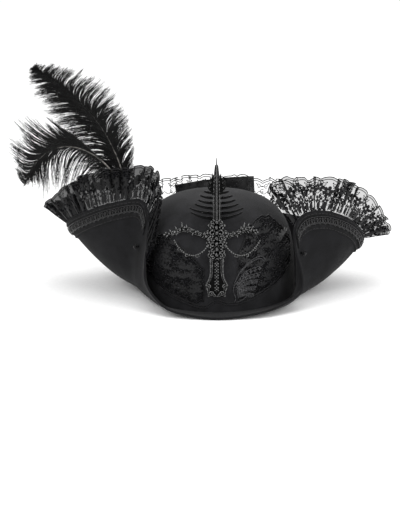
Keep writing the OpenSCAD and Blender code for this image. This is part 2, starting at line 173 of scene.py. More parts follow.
def woven(name, dark, light, rough, thread_mm, sheen=0.1):
    """Cloth with a plain weave, drawn at thread_mm: fine crossing ribs and a low gloss."""
    material, tree, shader, place = start_material(
        name, Roughness=rough, Sheen_Weight=sheen, Specular_IOR_Level=0.2)
    warp = add_node(tree, "ShaderNodeTexWave", {"Scale": per_mm(thread_mm) / 20, "bands_direction": "X",
                                                "Distortion": 1.5, "Detail": 2.0}, Vector=place).outputs["Fac"]
    weft = add_node(tree, "ShaderNodeTexWave", {"Scale": per_mm(thread_mm) / 20, "bands_direction": "Z",
                                                "Distortion": 1.5, "Detail": 2.0}, Vector=place).outputs["Fac"]
    cross = add_node(tree, "ShaderNodeMath", {"operation": "MULTIPLY"})
    tree.links.new(warp, cross.inputs[0])
    tree.links.new(weft, cross.inputs[1])
    dress(tree, shader, cross.outputs[0], dark, light, (0.1, 0.9), cross.outputs[0], 0.2, 0.5)
    return material


def satin(name, dark, light, rough):
    """Polyester satin: long floats give a soft, streaky shine along the ribbon."""
    material, tree, shader, place = start_material(
        name, Roughness=rough, Specular_IOR_Level=0.4, Sheen_Weight=0.03, Anisotropic=0.5)
    float_lines = add_node(tree, "ShaderNodeTexNoise", {"Scale": per_mm(1.2), "Detail": 3.0},
                           Vector=add_node(tree, "ShaderNodeMapping", {"Scale": (0.12, 0.12, 1.0)},
                                           Vector=place).outputs["Vector"]).outputs["Fac"]
    dress(tree, shader, float_lines, dark, light, relief=float_lines, depth_mm=0.15, strength=0.5)
    return material


def rayon_thread(name, dark, light, rough=0.42, gloss=0.2):
    """Embroidery and gimp thread: twisted rayon, black with a glint on each ridge, about 0.7 mm a twist."""
    material, tree, shader, place = start_material(name, Roughness=rough, Specular_IOR_Level=gloss, Sheen_Weight=0.02)
    twist = add_node(tree, "ShaderNodeTexNoise", {"Scale": per_mm(0.8), "Detail": 2.0}, Vector=place).outputs["Fac"]
    dress(tree, shader, twist, dark, light, (0.4, 0.75), twist, 0.3, 0.8)
    return material


def tulle_film(name, shade, cover):
    """Tulle net, too fine to show its holes here, so it is a thin even veil with slightly uneven threads."""
    material, tree, shader, place = start_material(name, Roughness=0.9, Specular_IOR_Level=0.05, Alpha=cover)
    net = add_node(tree, "ShaderNodeTexVoronoi", {"Scale": per_mm(1.4)}, Vector=place).outputs["Distance"]
    dress(tree, shader, net, shade, "141416", (0.2, 0.8))
    return material


def black_metal(name, deep, bright, low, high, rough=0.28):
    """Cast zinc alloy plated black nickel, coloured by the mesh's pointiness: painted shade in its hollows makes it
    dark there, and painted highlights make it bright where it stands proud.
    """
    material, tree, shader, place = start_material(name, Roughness=rough, Metallic=1.0)
    # Pointiness paints shade into the hollows and highlights onto the proud edges, in place of the lit metal's dark
    # recesses and glints.
    painted_glint_and_hollow_shade = add_node(tree, "ShaderNodeNewGeometry").outputs["Pointiness"]
    pits = add_node(tree, "ShaderNodeTexNoise", {"Scale": per_mm(0.9), "Detail": 3.0}, Vector=place).outputs["Fac"]
    dress(tree, shader, painted_glint_and_hollow_shade, deep, bright, (low, high), pits, 0.25, 0.5)
    return material


def bright_steel():
    """Turned steel hardware with fine tool rings."""
    material, tree, shader, place = start_material("turned_steel", Roughness=0.3, Metallic=1.0)
    rings = add_node(tree, "ShaderNodeTexWave", {"Scale": per_mm(0.6) / 20, "bands_direction": "Y"},
                     Vector=place).outputs["Fac"]
    dress(tree, shader, rings, "8c8c90", "b9b9bc", (0.2, 0.8), rings, 0.05)
    return material


def ostrich(name, dark, light):
    """Dyed ostrich barbs: soft, nearly matt black with a brownish-grey light along each barb."""
    material, tree, shader, place = start_material(name, Roughness=0.6, Sheen_Weight=0.02, Specular_IOR_Level=0.2)
    streak = add_node(tree, "ShaderNodeTexNoise", {"Scale": per_mm(5), "Detail": 3.0}, Vector=place).outputs["Fac"]
    dress(tree, shader, streak, dark, light, (0.35, 0.7))
    return material


def horn(name, dark, light):
    """Quill horn, dyed dark, with pale lengthwise streaks."""
    material, tree, shader, place = start_material(name, Roughness=0.35)
    streak = add_node(tree, "ShaderNodeTexNoise", {"Scale": per_mm(3)}, Vector=place).outputs["Fac"]
    dress(tree, shader, streak, dark, light)
    return material


def moulded_gloss(name, dark, light):
    """Moulded black button resin, with a clear glint and a slight swirl."""
    material, tree, shader, place = start_material(name, Roughness=0.12, Specular_IOR_Level=0.15)
    swirl = add_node(tree, "ShaderNodeTexNoise", {"Scale": per_mm(2.5)}, Vector=place).outputs["Fac"]
    dress(tree, shader, swirl, dark, light)
    return material


# The brim's felt is the crown's felt painted darker: painted shade for the wings' faces, which face down and away from
# the light. The plume socket uses this shaded copy too.
CROWN_FELT = wool_felt("wool_felt_crown", "171718", "252527")
SHADED_BRIM_FELT = wool_felt("wool_felt_brim_painted_shade", "0f0f10", "1a1a1c")
FACING = woven("twill_facing", "0c0c0d", "151517", 0.85, 1.4, 0.03)
LINING = satin("satin_lining", "161618", "29292c", 0.4)
GROSGRAIN = woven("grosgrain_sweatband", "121214", "262628", 0.6, 1.6)
BRAID = rayon_thread("gimp_braid_rayon", "030304", "1b1b1d", 0.25, 0.4)
LACE_THREAD = rayon_thread("lace_embroidery_rayon", "030304", "121214", 0.4)
CORD_THREAD = rayon_thread("applique_cord_rayon", "050506", "1a1a1c", 0.3)
BRIGHT_CORD = rayon_thread("applique_bright_cord", "141415", "5a5a5c", 0.28)
RUFFLE_FILMS = {"left": tulle_film("ruffle_tulle_dense", "040405", 0.88),
                "right": tulle_film("ruffle_tulle_double", "040405", 0.46),
                "back": tulle_film("ruffle_tulle_single", "121213", 0.09)}
APPLIQUE_FILM = tulle_film("applique_tulle", "030304", 0.45)
RIBBON = satin("satin_ribbon", "040405", "0b0b0c", 0.45)
# Three copies of one black nickel that differ only in how bright their painted highlights are; the darkest copy paints
# shade on the recessed back plate and collar.
BADGE_DARK = black_metal("black_nickel_painted_recess_shade", "060606", "232323", 0.45, 0.7, 0.35)
BADGE_MID = black_metal("black_nickel_plate", "050505", "5c5c5c", 0.51, 0.68, 0.22)
BADGE_BRIGHT = black_metal("black_nickel_painted_highlights", "060606", "a8a8a8", 0.5, 0.64, 0.2)
STEEL = bright_steel()
PLUME = ostrich("ostrich_barbs_black", "070707", "171717")
QUILL = horn("dyed_quill_horn", "242322", "8a8782")
BUTTON = moulded_gloss("resin_button", "050506", "0d0d0e")
TAPE = woven("stem_tape_cotton", "0f0f10", "1e1e20", 0.9, 0.9)
THREAD = rayon_thread("sewing_thread", "121213", "38383a", 0.5)

# ---------------------------------------------------------------- mesh building


def unit(v):
    v = np.asarray(v, float)
    return v / np.maximum(np.linalg.norm(v, axis=-1, keepdims=True), 1e-9)


def heading(degrees):
    """A direction's cosine and sine."""
    return math.cos(math.radians(degrees)), math.sin(math.radians(degrees))


def walked(points):
    """The distance from a line's start to each of its points."""
    return np.concatenate([[0], np.cumsum(np.linalg.norm(np.diff(points, axis=0), axis=1))])


def through(a, b, c, d, s):
    """The place s of the way from b to c on a smooth line, with a and d as their neighbours."""
    return 0.5 * (2 * b + (c - a) * s + (2 * a - 5 * b + 4 * c - d) * s ** 2 + (3 * b - a - 3 * c + d) * s ** 3)


def bezier(a, b, c, d, s):
    """The place s of the way from a to d, drawn towards b and c."""
    s = np.asarray(s, float)[..., None]
    return (1 - s) ** 3 * a + 3 * s * (1 - s) ** 2 * b + 3 * s ** 2 * (1 - s) * c + s ** 3 * d


class Sewing:
    """Gathers points in millimetres and faces, and becomes one smooth piece."""

    def __init__(self):
        self.points = []
        self.faces = []
        self.total = 0

    def add(self, points, *faces):
        points = np.asarray(points, float).reshape(-1, 3)
        self.points.append(points)
        self.faces += [np.asarray(f, int) + self.total for f in faces if len(f)]
        self.total += len(points)

    def grid(self, points, closed=False, flip=False):
        """A sheet of (rows, columns, 3) points. Closed joins its last row to its first."""
        rows, columns = points.shape[:2]
        i, j = np.meshgrid(np.arange(rows if closed else rows - 1), np.arange(columns - 1), indexing="ij")
        k = (i + 1) % rows
        corners = [i * columns + j, i * columns + j + 1, k * columns + j + 1, k * columns + j]
        quads = np.stack([c.ravel() for c in (reversed(corners) if flip else corners)], 1)
        self.add(points, quads)

    def slab(self, front, back):
        """A panel between two sheets of points, closed along its edges and at its ends."""
        self.grid(np.concatenate([front, back[:, ::-1], front[:, :1]], 1))
        for end, flip in ((0, False), (-1, True)):
            self.grid(np.stack([front[end], back[end]]), flip=flip)

    def tubes(self, paths, radius, sides=4, up=(0, 0, 1), flat=1.0):
        """Round cords along many (paths, steps, 3) lines at once. flat squashes them towards up."""
        paths = np.asarray(paths, float)
        count, steps = paths.shape[:2]
        along = unit(np.gradient(paths, axis=1))
        across = unit(np.cross(along, np.broadcast_to(up, paths.shape)))
        other = np.cross(across, along)
        turn = 2 * np.pi * np.arange(sides) / sides
        radius = np.broadcast_to(np.asarray(radius, float), (count, steps))[:, :, None, None]
        rings = (paths[:, :, None] + radius * (np.cos(turn)[:, None] * across[:, :, None]
                 + flat * np.sin(turn)[:, None] * other[:, :, None]))
        p, i, k = np.meshgrid(np.arange(count), np.arange(steps - 1), np.arange(sides), indexing="ij")
        base, after = (p * steps + i) * sides, (k + 1) % sides
        quads = np.stack([(base + k).ravel(), (base + sides + k).ravel(), (base + sides + after).ravel(),
                          (base + after).ravel()], 1)
        ends = np.arange(count)[:, None] * steps * sides + np.arange(sides)
        self.add(rings, quads, ends, (ends + (steps - 1) * sides)[:, ::-1])

    def fans(self, rims, middles):
        """Filled shapes: each (shapes, points, 3) rim closed round its own middle point."""
        rims = np.asarray(rims, float)
        count, points = rims.shape[:2]
        base = np.arange(count)[:, None] * (points + 1)
        k = np.arange(points)
        triangles = np.stack([(base + k).ravel(), (base + (k + 1) % points).ravel(),
                              np.broadcast_to(base + points, (count, points)).ravel()], 1)
        self.add(np.concatenate([rims, np.asarray(middles)[:, None]], 1), triangles)

    def piece(self, name, material, body, slot):
        points = np.concatenate(self.points)
        loops = np.concatenate([f.ravel() for f in self.faces])
        sizes = np.concatenate([np.full(len(f), f.shape[1]) for f in self.faces])
        mesh = bpy.data.meshes.new(name)
        mesh.vertices.add(len(points))
        mesh.vertices.foreach_set("co", (points * MM).ravel())
        mesh.loops.add(len(loops))
        mesh.loops.foreach_set("vertex_index", loops)
        mesh.polygons.add(len(sizes))
        mesh.polygons.foreach_set("loop_start", np.concatenate([[0], np.cumsum(sizes)[:-1]]))
        mesh.update(calc_edges=True)
        mesh.validate()
        mesh.shade_smooth()
        obj = bpy.data.objects.new(name, mesh)
        bpy.context.scene.collection.objects.link(obj)
        mesh.materials.append(material)
        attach(obj, body)
        return obj


def smooth_noise(x, seed, size):
    """Seeded noise from -1 to 1 that changes smoothly over about size."""
    values = np.random.default_rng(seed).uniform(-1, 1, 4096)
    x = np.asarray(x, float) / size + 2048
    i = np.floor(x).astype(int)
    s = x - i
    s = s * s * (3 - 2 * s)
    return values[i % 4096] * (1 - s) + values[(i + 1) % 4096] * s


# ---------------------------------------------------------------- the crown's and the brim's surfaces

crown_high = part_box("crown")[1] / MM
CROWN_X, CROWN_Y, CROWN_H = crown_high
SQUARENESS = 3.5                     # of the crown's profile
FELT = 2.4                           # thickness of the felt
ROOT_GAP = 1.0
ARCH_AZIMUTH, ARCH_HALF, ARCH_RISE = 288, 40, 8.5   # the opening's edge rises over the right temple

# The cocked brim, from the front round by +X: azimuth, edge x, y, z, reach and lift of its trough,
# and the way that the lace stands, with its fullness.
BRIM_ROWS = [
    (0, 0, -122, 0, 12, 0, 0, 0, 1),
    (20, 43, -115, 4, 13, 0, 0, 0, 1),
    (36, 67, -101, 9, 14, 0, 0, 0, 1),
    (46, 87, -82, 18, 16, 0, 0, 0, 1),
    (54, 88, -69, 37, 18, 0, -0.3, 0.1, 0.7),
    (60, 82, -62, 60, 20, 0, -0.6, 0.15, 0.8),
    (66, 81, -56, 80, 23, 0, -0.75, 0.2, 0.95),
    (72, 91, -46, 91, 28, 0, -0.35, 0.15, 1),
    (79, 112, -32, 91, 36, 0, 0.3, 0, 0.9),
    (86, 136, -14, 80, 44, 0, 0.36, 0.05, 0.86),
    (94, 151, 4, 65, 47, 0, 0.6, 0.1, 0.55),
    (102, 156, 21, 50, 43, 0, 0.72, 0.25, 0.15),
    (114, 142, 49, 50, 33, 0, 0.55, 0.45, 0.45),
    (130, 110, 77, 56, 25, 0, 0.3, 0.35, 0.85),
    (148, 70, 99, 60, 20, 0, 0.1, 0.3, 0.9),
    (165, 34, 112, 62, 18, 0, 0, 0.25, 0.93),
    (180, 0, 116, 63, 18, 0, 0, 0.22, 0.94),
    (195, -34, 112, 62, 18, 0, 0, 0.25, 0.93),
    (212, -70, 99, 60, 20, 0, -0.1, 0.3, 0.9),
    (230, -110, 77, 60, 24, 4, -0.3, 0.35, 0.85),
    (246, -142, 49, 60, 31, 8, -0.55, 0.4, 0.6),
    (258, -157, 21, 65, 36, 9, -0.65, 0.15, 0.5),
    (266, -152, 3, 75, 36, 8, -0.41, 0, 0.75),
    (274, -134, -15, 87, 32, 7, -0.27, 0, 0.93),
    (281, -109, -33, 99, 25, 7, -0.14, 0, 0.97),
    (288, -79, -47, 106, 19, 7, 0.15, 0, 0.95),
    (294, -71, -55, 94, 16, 6, 0.33, 0.1, 0.85),
    (300, -71, -63, 70, 13, 6, 0.3, 0.1, 0.65),
    (306, -74, -71, 46, 10, 6, 0.2, 0, 0.6),
    (314, -73, -82, 28, 9, 7, 0, 0, 1),
    (324, -62, -98, 14, 11, 4, 0, 0, 1),
    (340, -43, -114, 5, 13, 0, 0, 0, 1),
]
ROWS = len(BRIM_ROWS)
RIGHT_RIDGE, RIGHT_CORNER, LEFT_CORNER, LEFT_RIDGE = 5.75, 12.5, 19.5, 26.25


def wrapped_row(i):
    """Row i of the table, counted on past a full turn."""
    turn, k = divmod(i, ROWS)
    return (BRIM_ROWS[k][0] + 360 * turn, *BRIM_ROWS[k][1:])


TABLE = np.array([wrapped_row(i) for i in range(-3, ROWS + 5)], float)


def brim_at(u):
    """The table at any place u between its rows."""
    u = np.asarray(u, float)
    i = np.floor(u).astype(int)
    s = (u - i)[..., None]
    a, b, c, d = (TABLE[i + k] for k in (2, 3, 4, 5))
    return through(a, b, c, d, s)


def temple_arch(azimuth):
    """Rise of the opening's edge at an azimuth, in degrees."""
    gap = (azimuth - ARCH_AZIMUTH + 540) % 360 - 180
    return np.where(np.abs(gap) < ARCH_HALF, ARCH_RISE * np.cos(np.pi / 2 * gap / ARCH_HALF) ** 2, 0)


def brim_frame(u):
    """Root, trough and edge of the brim's profile at u."""
    q = brim_at(u)
    sine, cosine = np.sin(np.radians(q[..., 0])), np.cos(np.radians(q[..., 0]))
    root = np.stack([(CROWN_X + ROOT_GAP) * sine, -(CROWN_Y + ROOT_GAP) * cosine, temple_arch(q[..., 0])], -1)
    outward = unit(np.stack([sine / CROWN_X, -cosine / CROWN_Y, 0 * sine], -1))
    trough = root + q[..., 4:5] * outward
    trough[..., 2] += q[..., 5]
    return root, trough, q[..., 1:4], q[..., 6:9]


def brim_point(u, t):
    """The brim's outside at u round it and t from its root to its edge."""
    u, t = np.broadcast_arrays(np.asarray(u, float), np.asarray(t, float))
    root, trough, edge, _ = brim_frame(u)
    t = t[..., None]
    return (1 - t) ** 2 * root + 2 * t * (1 - t) * trough + t ** 2 * edge


def brim_normal(u, t, step=0.02):
    """Its direction away from the crown."""
    low, high = np.maximum(np.asarray(t, float) - step, 0), np.minimum(np.asarray(t, float) + step, 1)
    round_it = brim_point(u + step, t) - brim_point(u - step, t)
    return unit(np.cross(round_it, brim_point(u, high) - brim_point(u, low)))


def brim_in(u, inset):
    """The t that lies inset millimetres in from the edge."""
    _, trough, edge, _ = brim_frame(u)
    return 1 - inset / (2 * np.linalg.norm(edge - trough, axis=-1))


def brim_ruler(u0, u1):
    """Places u and their distances in millimetres along the brim's edge."""
    u = np.linspace(u0, u1, int((u1 - u0) * 40))
    return u, walked(brim_point(u, 1.0))


def crown_point(azimuth, rise, off=0.0):
    """The crown's outside at an azimuth and a rise from 0 to 90 degrees, moved out by off."""
    azimuth, rise = np.radians(azimuth), np.radians(rise)
    flat = np.clip(np.cos(rise), 0, 1) ** (2 / SQUARENESS)
    up = np.clip(np.sin(rise), 0, 1) ** (2 / SQUARENESS)
    return np.stack([(CROWN_X + off) * flat * np.sin(azimuth), -(CROWN_Y + off) * flat * np.cos(azimuth),
                     (CROWN_H + off) * up], -1)


def crown_rise(z, off=0.0):
    """The rise at which the crown's outside reaches height z."""
    return np.degrees(np.arcsin(np.clip(z / (CROWN_H + off), 0, 1) ** (SQUARENESS / 2)))


def dome_rings(off, start_z, azimuth, rings):
    """Points (azimuths, rings, 3) from height start_z to the top, closest together where the dome bends."""
    start = crown_rise(start_z + temple_arch(azimuth), off)[:, None]
    s = (1 - np.cos(np.pi * np.linspace(0, 1, rings))) / 2
    return crown_point(azimuth[:, None] + 0 * s, start + (90 - start) * s, off)


# ---------------------------------------------------------------- felt

def dented(points, depth, seed):
    """Moves points by gentle hand-blocked unevenness, less near the opening."""
    x, y, z = points[..., 0], points[..., 1], points[..., 2]
    push = (smooth_noise(x + 0.6 * z, seed, 34) + smooth_noise(y - 0.5 * z, seed + 1, 41)) / 2
    fade = np.clip(z / 30, 0, 1)[..., None]
    return points + depth * push[..., None] * fade * unit(points - (0, 0, 20))


def make_crown():
    azimuth = np.arange(0, 360, 360 / 192)
    outside = dented(dome_rings(0, 0, azimuth, 64), 0.35, 3)
    inside = dome_rings(-FELT, 0, azimuth, 40)
    sewing = Sewing()
    sewing.grid(outside, closed=True)
    sewing.grid(inside, closed=True, flip=True)
    sewing.grid(np.stack([inside[:, 0], (inside[:, 0] + outside[:, 0]) / 2 + (0, 0, 0.02), outside[:, 0]], 1),
                closed=True)
    crown = sewing.piece("crown_felt", CROWN_FELT, "hat", "wool_felt")
    close_seams(crown)
    drill_for_posts(crown)
    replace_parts(crown, "crown")


def close_seams(obj, gap=0.00002):
    """Merges points that lie together."""
    work = bmesh.new()
    work.from_mesh(obj.data)
    bmesh.ops.remove_doubles(work, verts=work.verts, dist=gap)
    bmesh.ops.recalc_face_normals(work, faces=work.faces)
    work.to_mesh(obj.data)
    work.free()
    obj.data.shade_smooth()


def pin(place, radius, long, along_y=True, vertices=32):
    """A plain cylinder, in millimetres."""
    turn = (math.radians(90) if along_y else 0, 0, 0)
    bpy.ops.mesh.primitive_cylinder_add(vertices=vertices, radius=radius * MM, depth=long * MM,
                                        location=[c * MM for c in place], rotation=turn)
    return bpy.context.object


def bore(obj, tool, has_joined_parts=False):
    """Cuts a tool's shape out of a piece and takes the tool away."""
    cut = obj.modifiers.new("bore", "BOOLEAN")
    cut.object = tool
    cut.use_self = has_joined_parts
    bpy.context.view_layer.objects.active = obj
    bpy.ops.object.modifier_apply(modifier="bore")
    bpy.data.objects.remove(tool)


POST_HEIGHTS = (32, 54)
POST_R, POST_HOLE_R, THREAD_PITCH = 1.42, 1.75, 0.7
NUT_R, NUT_LONG, NUT_BORE_R = 3.6, 3.4, 1.56
FLANGE_R, FLANGE_LONG = 5.0, 1.0


def drill_for_posts(obj):
    """Cuts the two holes that the badge's posts pass through."""
    for height in POST_HEIGHTS:
        bore(obj, pin((0, 4 - CROWN_Y, height), POST_HOLE_R, 30, vertices=24))


def make_brim():
    u = np.arange(0, ROWS, 1 / 16)[:, None]
    t = np.linspace(0, 1, 36)[None, :]
    outside = brim_point(u, t)
    normal = brim_normal(u, t)
    inside = outside - FELT * normal
    over = unit(outside[:, -1] - outside[:, -2])
    roll = [(outside[:, -1] + inside[:, -1]) / 2 + over * FELT / 2 * math.sin(a)
            + normal[:, -1] * FELT / 2 * math.cos(a) for a in np.linspace(0, math.pi, 7)]
    loop = np.concatenate([outside, np.stack(roll, 1)[:, 1:-1], inside[:, ::-1], outside[:, :1]], 1)
    sewing = Sewing()
    sewing.grid(loop, closed=True, flip=True)
    # The brim takes the felt that is painted darker as painted shade.
    brim = sewing.piece("brim_felt", SHADED_BRIM_FELT, "hat", "wool_felt")
    close_seams(brim)
    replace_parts(brim, "brim")
    root = brim_frame(u[:, 0])[0]
    inward = unit(root * (1, 1, 0)) * 0.55
    seam = Sewing()
    seam.tubes(np.concatenate([root, root[:1]])[None] - np.concatenate([inward, inward[:1]]) + (0, 0, 1.3), 0.85, 8)
    seam.piece("brim_root_seam", THREAD, "hat", "wool_felt")


def lay_on_brim(u0, u1, lift):
    """Lays flat places (millimetres along the edge, millimetres in from it) on the brim's outside."""
    ruler, length = brim_ruler(u0, u1)

    def lay(along, inset):
        u = np.interp(along, length, ruler)
        t = brim_in(u, inset)
        normal = brim_normal(u, t)
        return brim_point(u, t) + lift * normal, normal
    return lay, length[-1]


def lay_on_crown(lift):
    """Lays flat places (azimuth in degrees, height in millimetres) on the crown."""
    def lay(azimuth, z):
        rise = crown_rise(z)
        step = 0.5
        normal = unit(np.cross(crown_point(azimuth + step, rise) - crown_point(azimuth - step, rise),
                               crown_point(azimuth, rise + step) - crown_point(azimuth, rise - step)))
        return crown_point(azimuth, rise) + lift * normal, normal
    return lay


def stitches(sewing, lay, length, inset, long=3.0, pitch=4.6, radius=0.32):
    """A row of running stitches along a laid surface."""
    starts = np.arange(2, length - long - 1, pitch)
    along = starts[:, None] + np.linspace(0, long, 5)
    points, normal = lay(along, np.full_like(along, inset))
    sewing.tubes(points + normal * 0.25 * np.sin(np.pi * np.linspace(0, 1, 5))[:, None], radius, 5, normal)


FACING_W, FACING_T, SEW_GAP = 20, 0.9, 0.15
BRAID_IN, BRAID_W = 4.5, 8.5


def make_facing(side, u0, u1):
    """The band sewn round the turned-up edge, with a rounded lower fold and a row of stitches."""
    steps = int((u1 - u0) * 24)
    u = np.linspace(u0, u1, steps)[:, None]
    inset = np.linspace(0.3, FACING_W, 16)
    low = np.stack([brim_in(u[:, 0], i) for i in inset], 1)
    normal = brim_normal(u, low)
    edge = np.clip(np.minimum(inset - 0.3, FACING_W - inset) / 1.2, 0, 1) ** 0.5
    back = brim_point(u, low) + SEW_GAP * 2 * normal
    front = back + (0.15 + (FACING_T - 0.15) * edge)[None, :, None] * normal
    sewing = Sewing()
    sewing.slab(front, back)
    facing = sewing.piece(f"facing_{side}_cloth", FACING, "hat", "felt_facing")
    close_seams(facing)
    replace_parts(facing, f"facing_{side}")
    lay, length = lay_on_brim(u0, u1, SEW_GAP * 2 + FACING_T)
    thread = Sewing()
    stitches(thread, lay, length, FACING_W - 1.6)
    stitches(thread, lay, length, 2.0)
    thread.piece(f"facing_{side}_stitches", THREAD, "hat", "felt_facing")


def make_braid(side, u0, u1):
    """Scroll gimp: two looping strands between a plaited top edge and a scalloped lower one."""
    lay, length = lay_on_brim(u0, u1, SEW_GAP * 4 + FACING_T + 0.75)
    pitch = 7.2
    count = int(length / pitch * 22)
    s = np.linspace(0, length, count)
    turn = 2 * np.pi * s / pitch
    middle = BRAID_IN + BRAID_W / 2
    sewing = Sewing()
    for phase, swing in ((0, 2.9), (np.pi, 2.9)):
        along = s + 2.4 * np.sin(turn + phase)
        inset = middle + 0.5 + swing * np.cos(turn + phase)
        points, normal = lay(along, inset)
        weave = 0.35 * np.cos(2 * turn + phase)[:, None] * normal
        sewing.tubes((points + weave)[None], 0.62, 6, normal[None])
    for inset, swing, radius in ((BRAID_IN + 0.5, 0.25, 0.5), (BRAID_IN + BRAID_W - 0.4, 2.2, 0.5)):
        scallop = inset - swing * np.abs(np.cos(turn / 2)) + swing / 2
        points, normal = lay(s, scallop)
        sewing.tubes(points[None], radius, 6, normal[None])
    knots = np.arange(pitch / 2, length, pitch)
    points, normal = lay(knots, np.full_like(knots, middle + 0.3))
    hop = 0.9 * unit(np.cross(normal, points - np.roll(points, 1, 0)))
    sewing.tubes(np.stack([points - hop, points + 0.5 * normal, points + hop], 1), (0.3, 0.95, 0.3), 6,
                 np.repeat(normal[:, None], 3, 1))
    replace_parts(sewing.piece(f"braid_{side}_gimp", BRAID, "hat", "gimp_braid"), f"braid_{side}")


# ---------------------------------------------------------------- lace

class Embroidery:
    """Threads and padded petals drawn flat and laid on a surface."""

    def __init__(self, lay):
        self.lay = lay
        self.sewing = Sewing()

    def cords(self, lines, radius, sides=4, lift=0.0):
        """lines is (lines, steps, 2)."""
        lines = np.asarray(lines, float)
        points, normal = self.lay(lines[..., 0], lines[..., 1])
        self.sewing.tubes(points + lift * normal, radius, sides, normal)

    def petals(self, shapes, pad=0.35, lift=0.12):
        """shapes is (shapes, rim points, 2)."""
        shapes = np.asarray(shapes, float)
        rims, normal = self.lay(shapes[..., 0], shapes[..., 1])
        middle = shapes.mean(1)
        tops, top_normal = self.lay(middle[:, 0], middle[:, 1])
        self.sewing.fans(rims + lift * normal, tops + pad * top_normal)


def moved(shape, places, scale=1.0):
    """Copies of a flat shape or line set at each place: (places * shapes, points, 2)."""
    shape = np.asarray(shape, float) * scale
    places = np.asarray(places, float)
    return (places[:, None, None] + shape[None]).reshape(-1, *shape.shape[1:])


def row_of(x, z=0):
    """Flat places at each x, all at one width z."""
    return np.stack([x, 0 * x + z], 1)


def petal(length, width, angle, start=0.0, points=10):
    """A petal's rim that springs from start along an angle in degrees."""
    a = np.linspace(0, 2 * np.pi, points, endpoint=False)
    along = start + length / 2 * (1 - np.cos(a))
    across = width / 2 * np.sin(a) * (0.75 + 0.25 * (1 - np.cos(a)) / 2 * 2)
    c, s = heading(angle)
    return np.stack([along * c - across * s, along * s + across * c], 1)


def rosette(petals, length, width, start=0.8, turn=0.0):
    return [petal(length, width, turn + 360 * k / petals, start) for k in range(petals)]


def scroll(radius, turns, angle, hand=1, points=14):
    """A C-scroll that unwinds from a curl."""
    a = np.linspace(0, 2 * np.pi * turns, points)
    r = radius * (0.25 + 0.75 * a / a[-1])
    spin = hand * a + math.radians(angle)
    return np.stack([r * np.cos(spin), r * np.sin(spin)], 1)


RUFFLE_W = 38
REPEAT = 19                          # one scallop and one flower of the lace, along the flat strip


def lace_sheet(u0, u1, seed, pitch, tip_swing):
    """The gathered strip: a function that gives its surface at (flat length, width), its flat length, and
    the mean share of its full width that it is cut to, as it narrows towards the wings' points.
    Folds are tight at the root and open out, and lean over each other, towards the scalloped edge."""
    u = np.linspace(u0, u1, 1600)
    root, trough, edge, flare = brim_frame(u)
    base = edge - FELT / 2 * brim_normal(u, np.ones_like(u))
    run = unit(np.gradient(base, axis=0))
    out = unit(np.cross(run, flare))
    s = walked(base)
    fold = 2 * np.pi * (s / pitch + 0.45 * smooth_noise(s, seed, 16))
    swing = tip_swing * (0.8 + 0.35 * smooth_noise(s, seed + 1, 11))
    reach = 1 + 0.05 * smooth_noise(s, seed + 2, 9)
    lean = 1.2 * smooth_noise(s, seed + 3, 23)

    def surface(index, v):
        """Points at fractional sample index and v millimetres out from the edge."""
        def at(values):
            i = np.clip(np.floor(index).astype(int), 0, len(u) - 2)
            f = (index - i).reshape(index.shape + (1,) * (values.ndim - 1))
            return values[i] * (1 - f) + values[i + 1] * f
        share = np.maximum(v / RUFFLE_W, 0)[..., None]
        wave, amp = at(fold)[..., None], at(swing)[..., None]
        open_out = 0.12 + 0.88 * share ** 0.8
        return (at(base) + v[..., None] * at(flare) * at(reach)[..., None]
                + at(out) * (amp * open_out * np.sin(wave) + at(lean)[..., None] * share)
                - at(run) * (0.62 * amp * open_out * np.sin(2 * wave)))

    index = np.arange(len(u), dtype=float)
    level = surface(index, np.full_like(index, 0.7 * RUFFLE_W))
    flat = walked(level)

    def lay(along, v):
        along, v = np.broadcast_arrays(np.asarray(along, float), np.asarray(v, float))
        i = np.interp(along, flat, index)
        step = 0.7
        point = surface(i, v)
        normal = unit(np.cross(surface(i + step, v) - surface(i - step, v),
                               surface(i, v + 0.5) - surface(i, v - 0.5)))
        return point, normal
    return lay, flat[-1], np.interp(np.linspace(0, flat[-1], 200), flat, np.linalg.norm(flare, axis=1)).mean()


def scallop_edge(along):
    """Width of the lace at a place along the flat strip."""
    return RUFFLE_W - 3.4 + 3.4 * np.abs(np.sin(np.pi * along / REPEAT)) ** 0.7


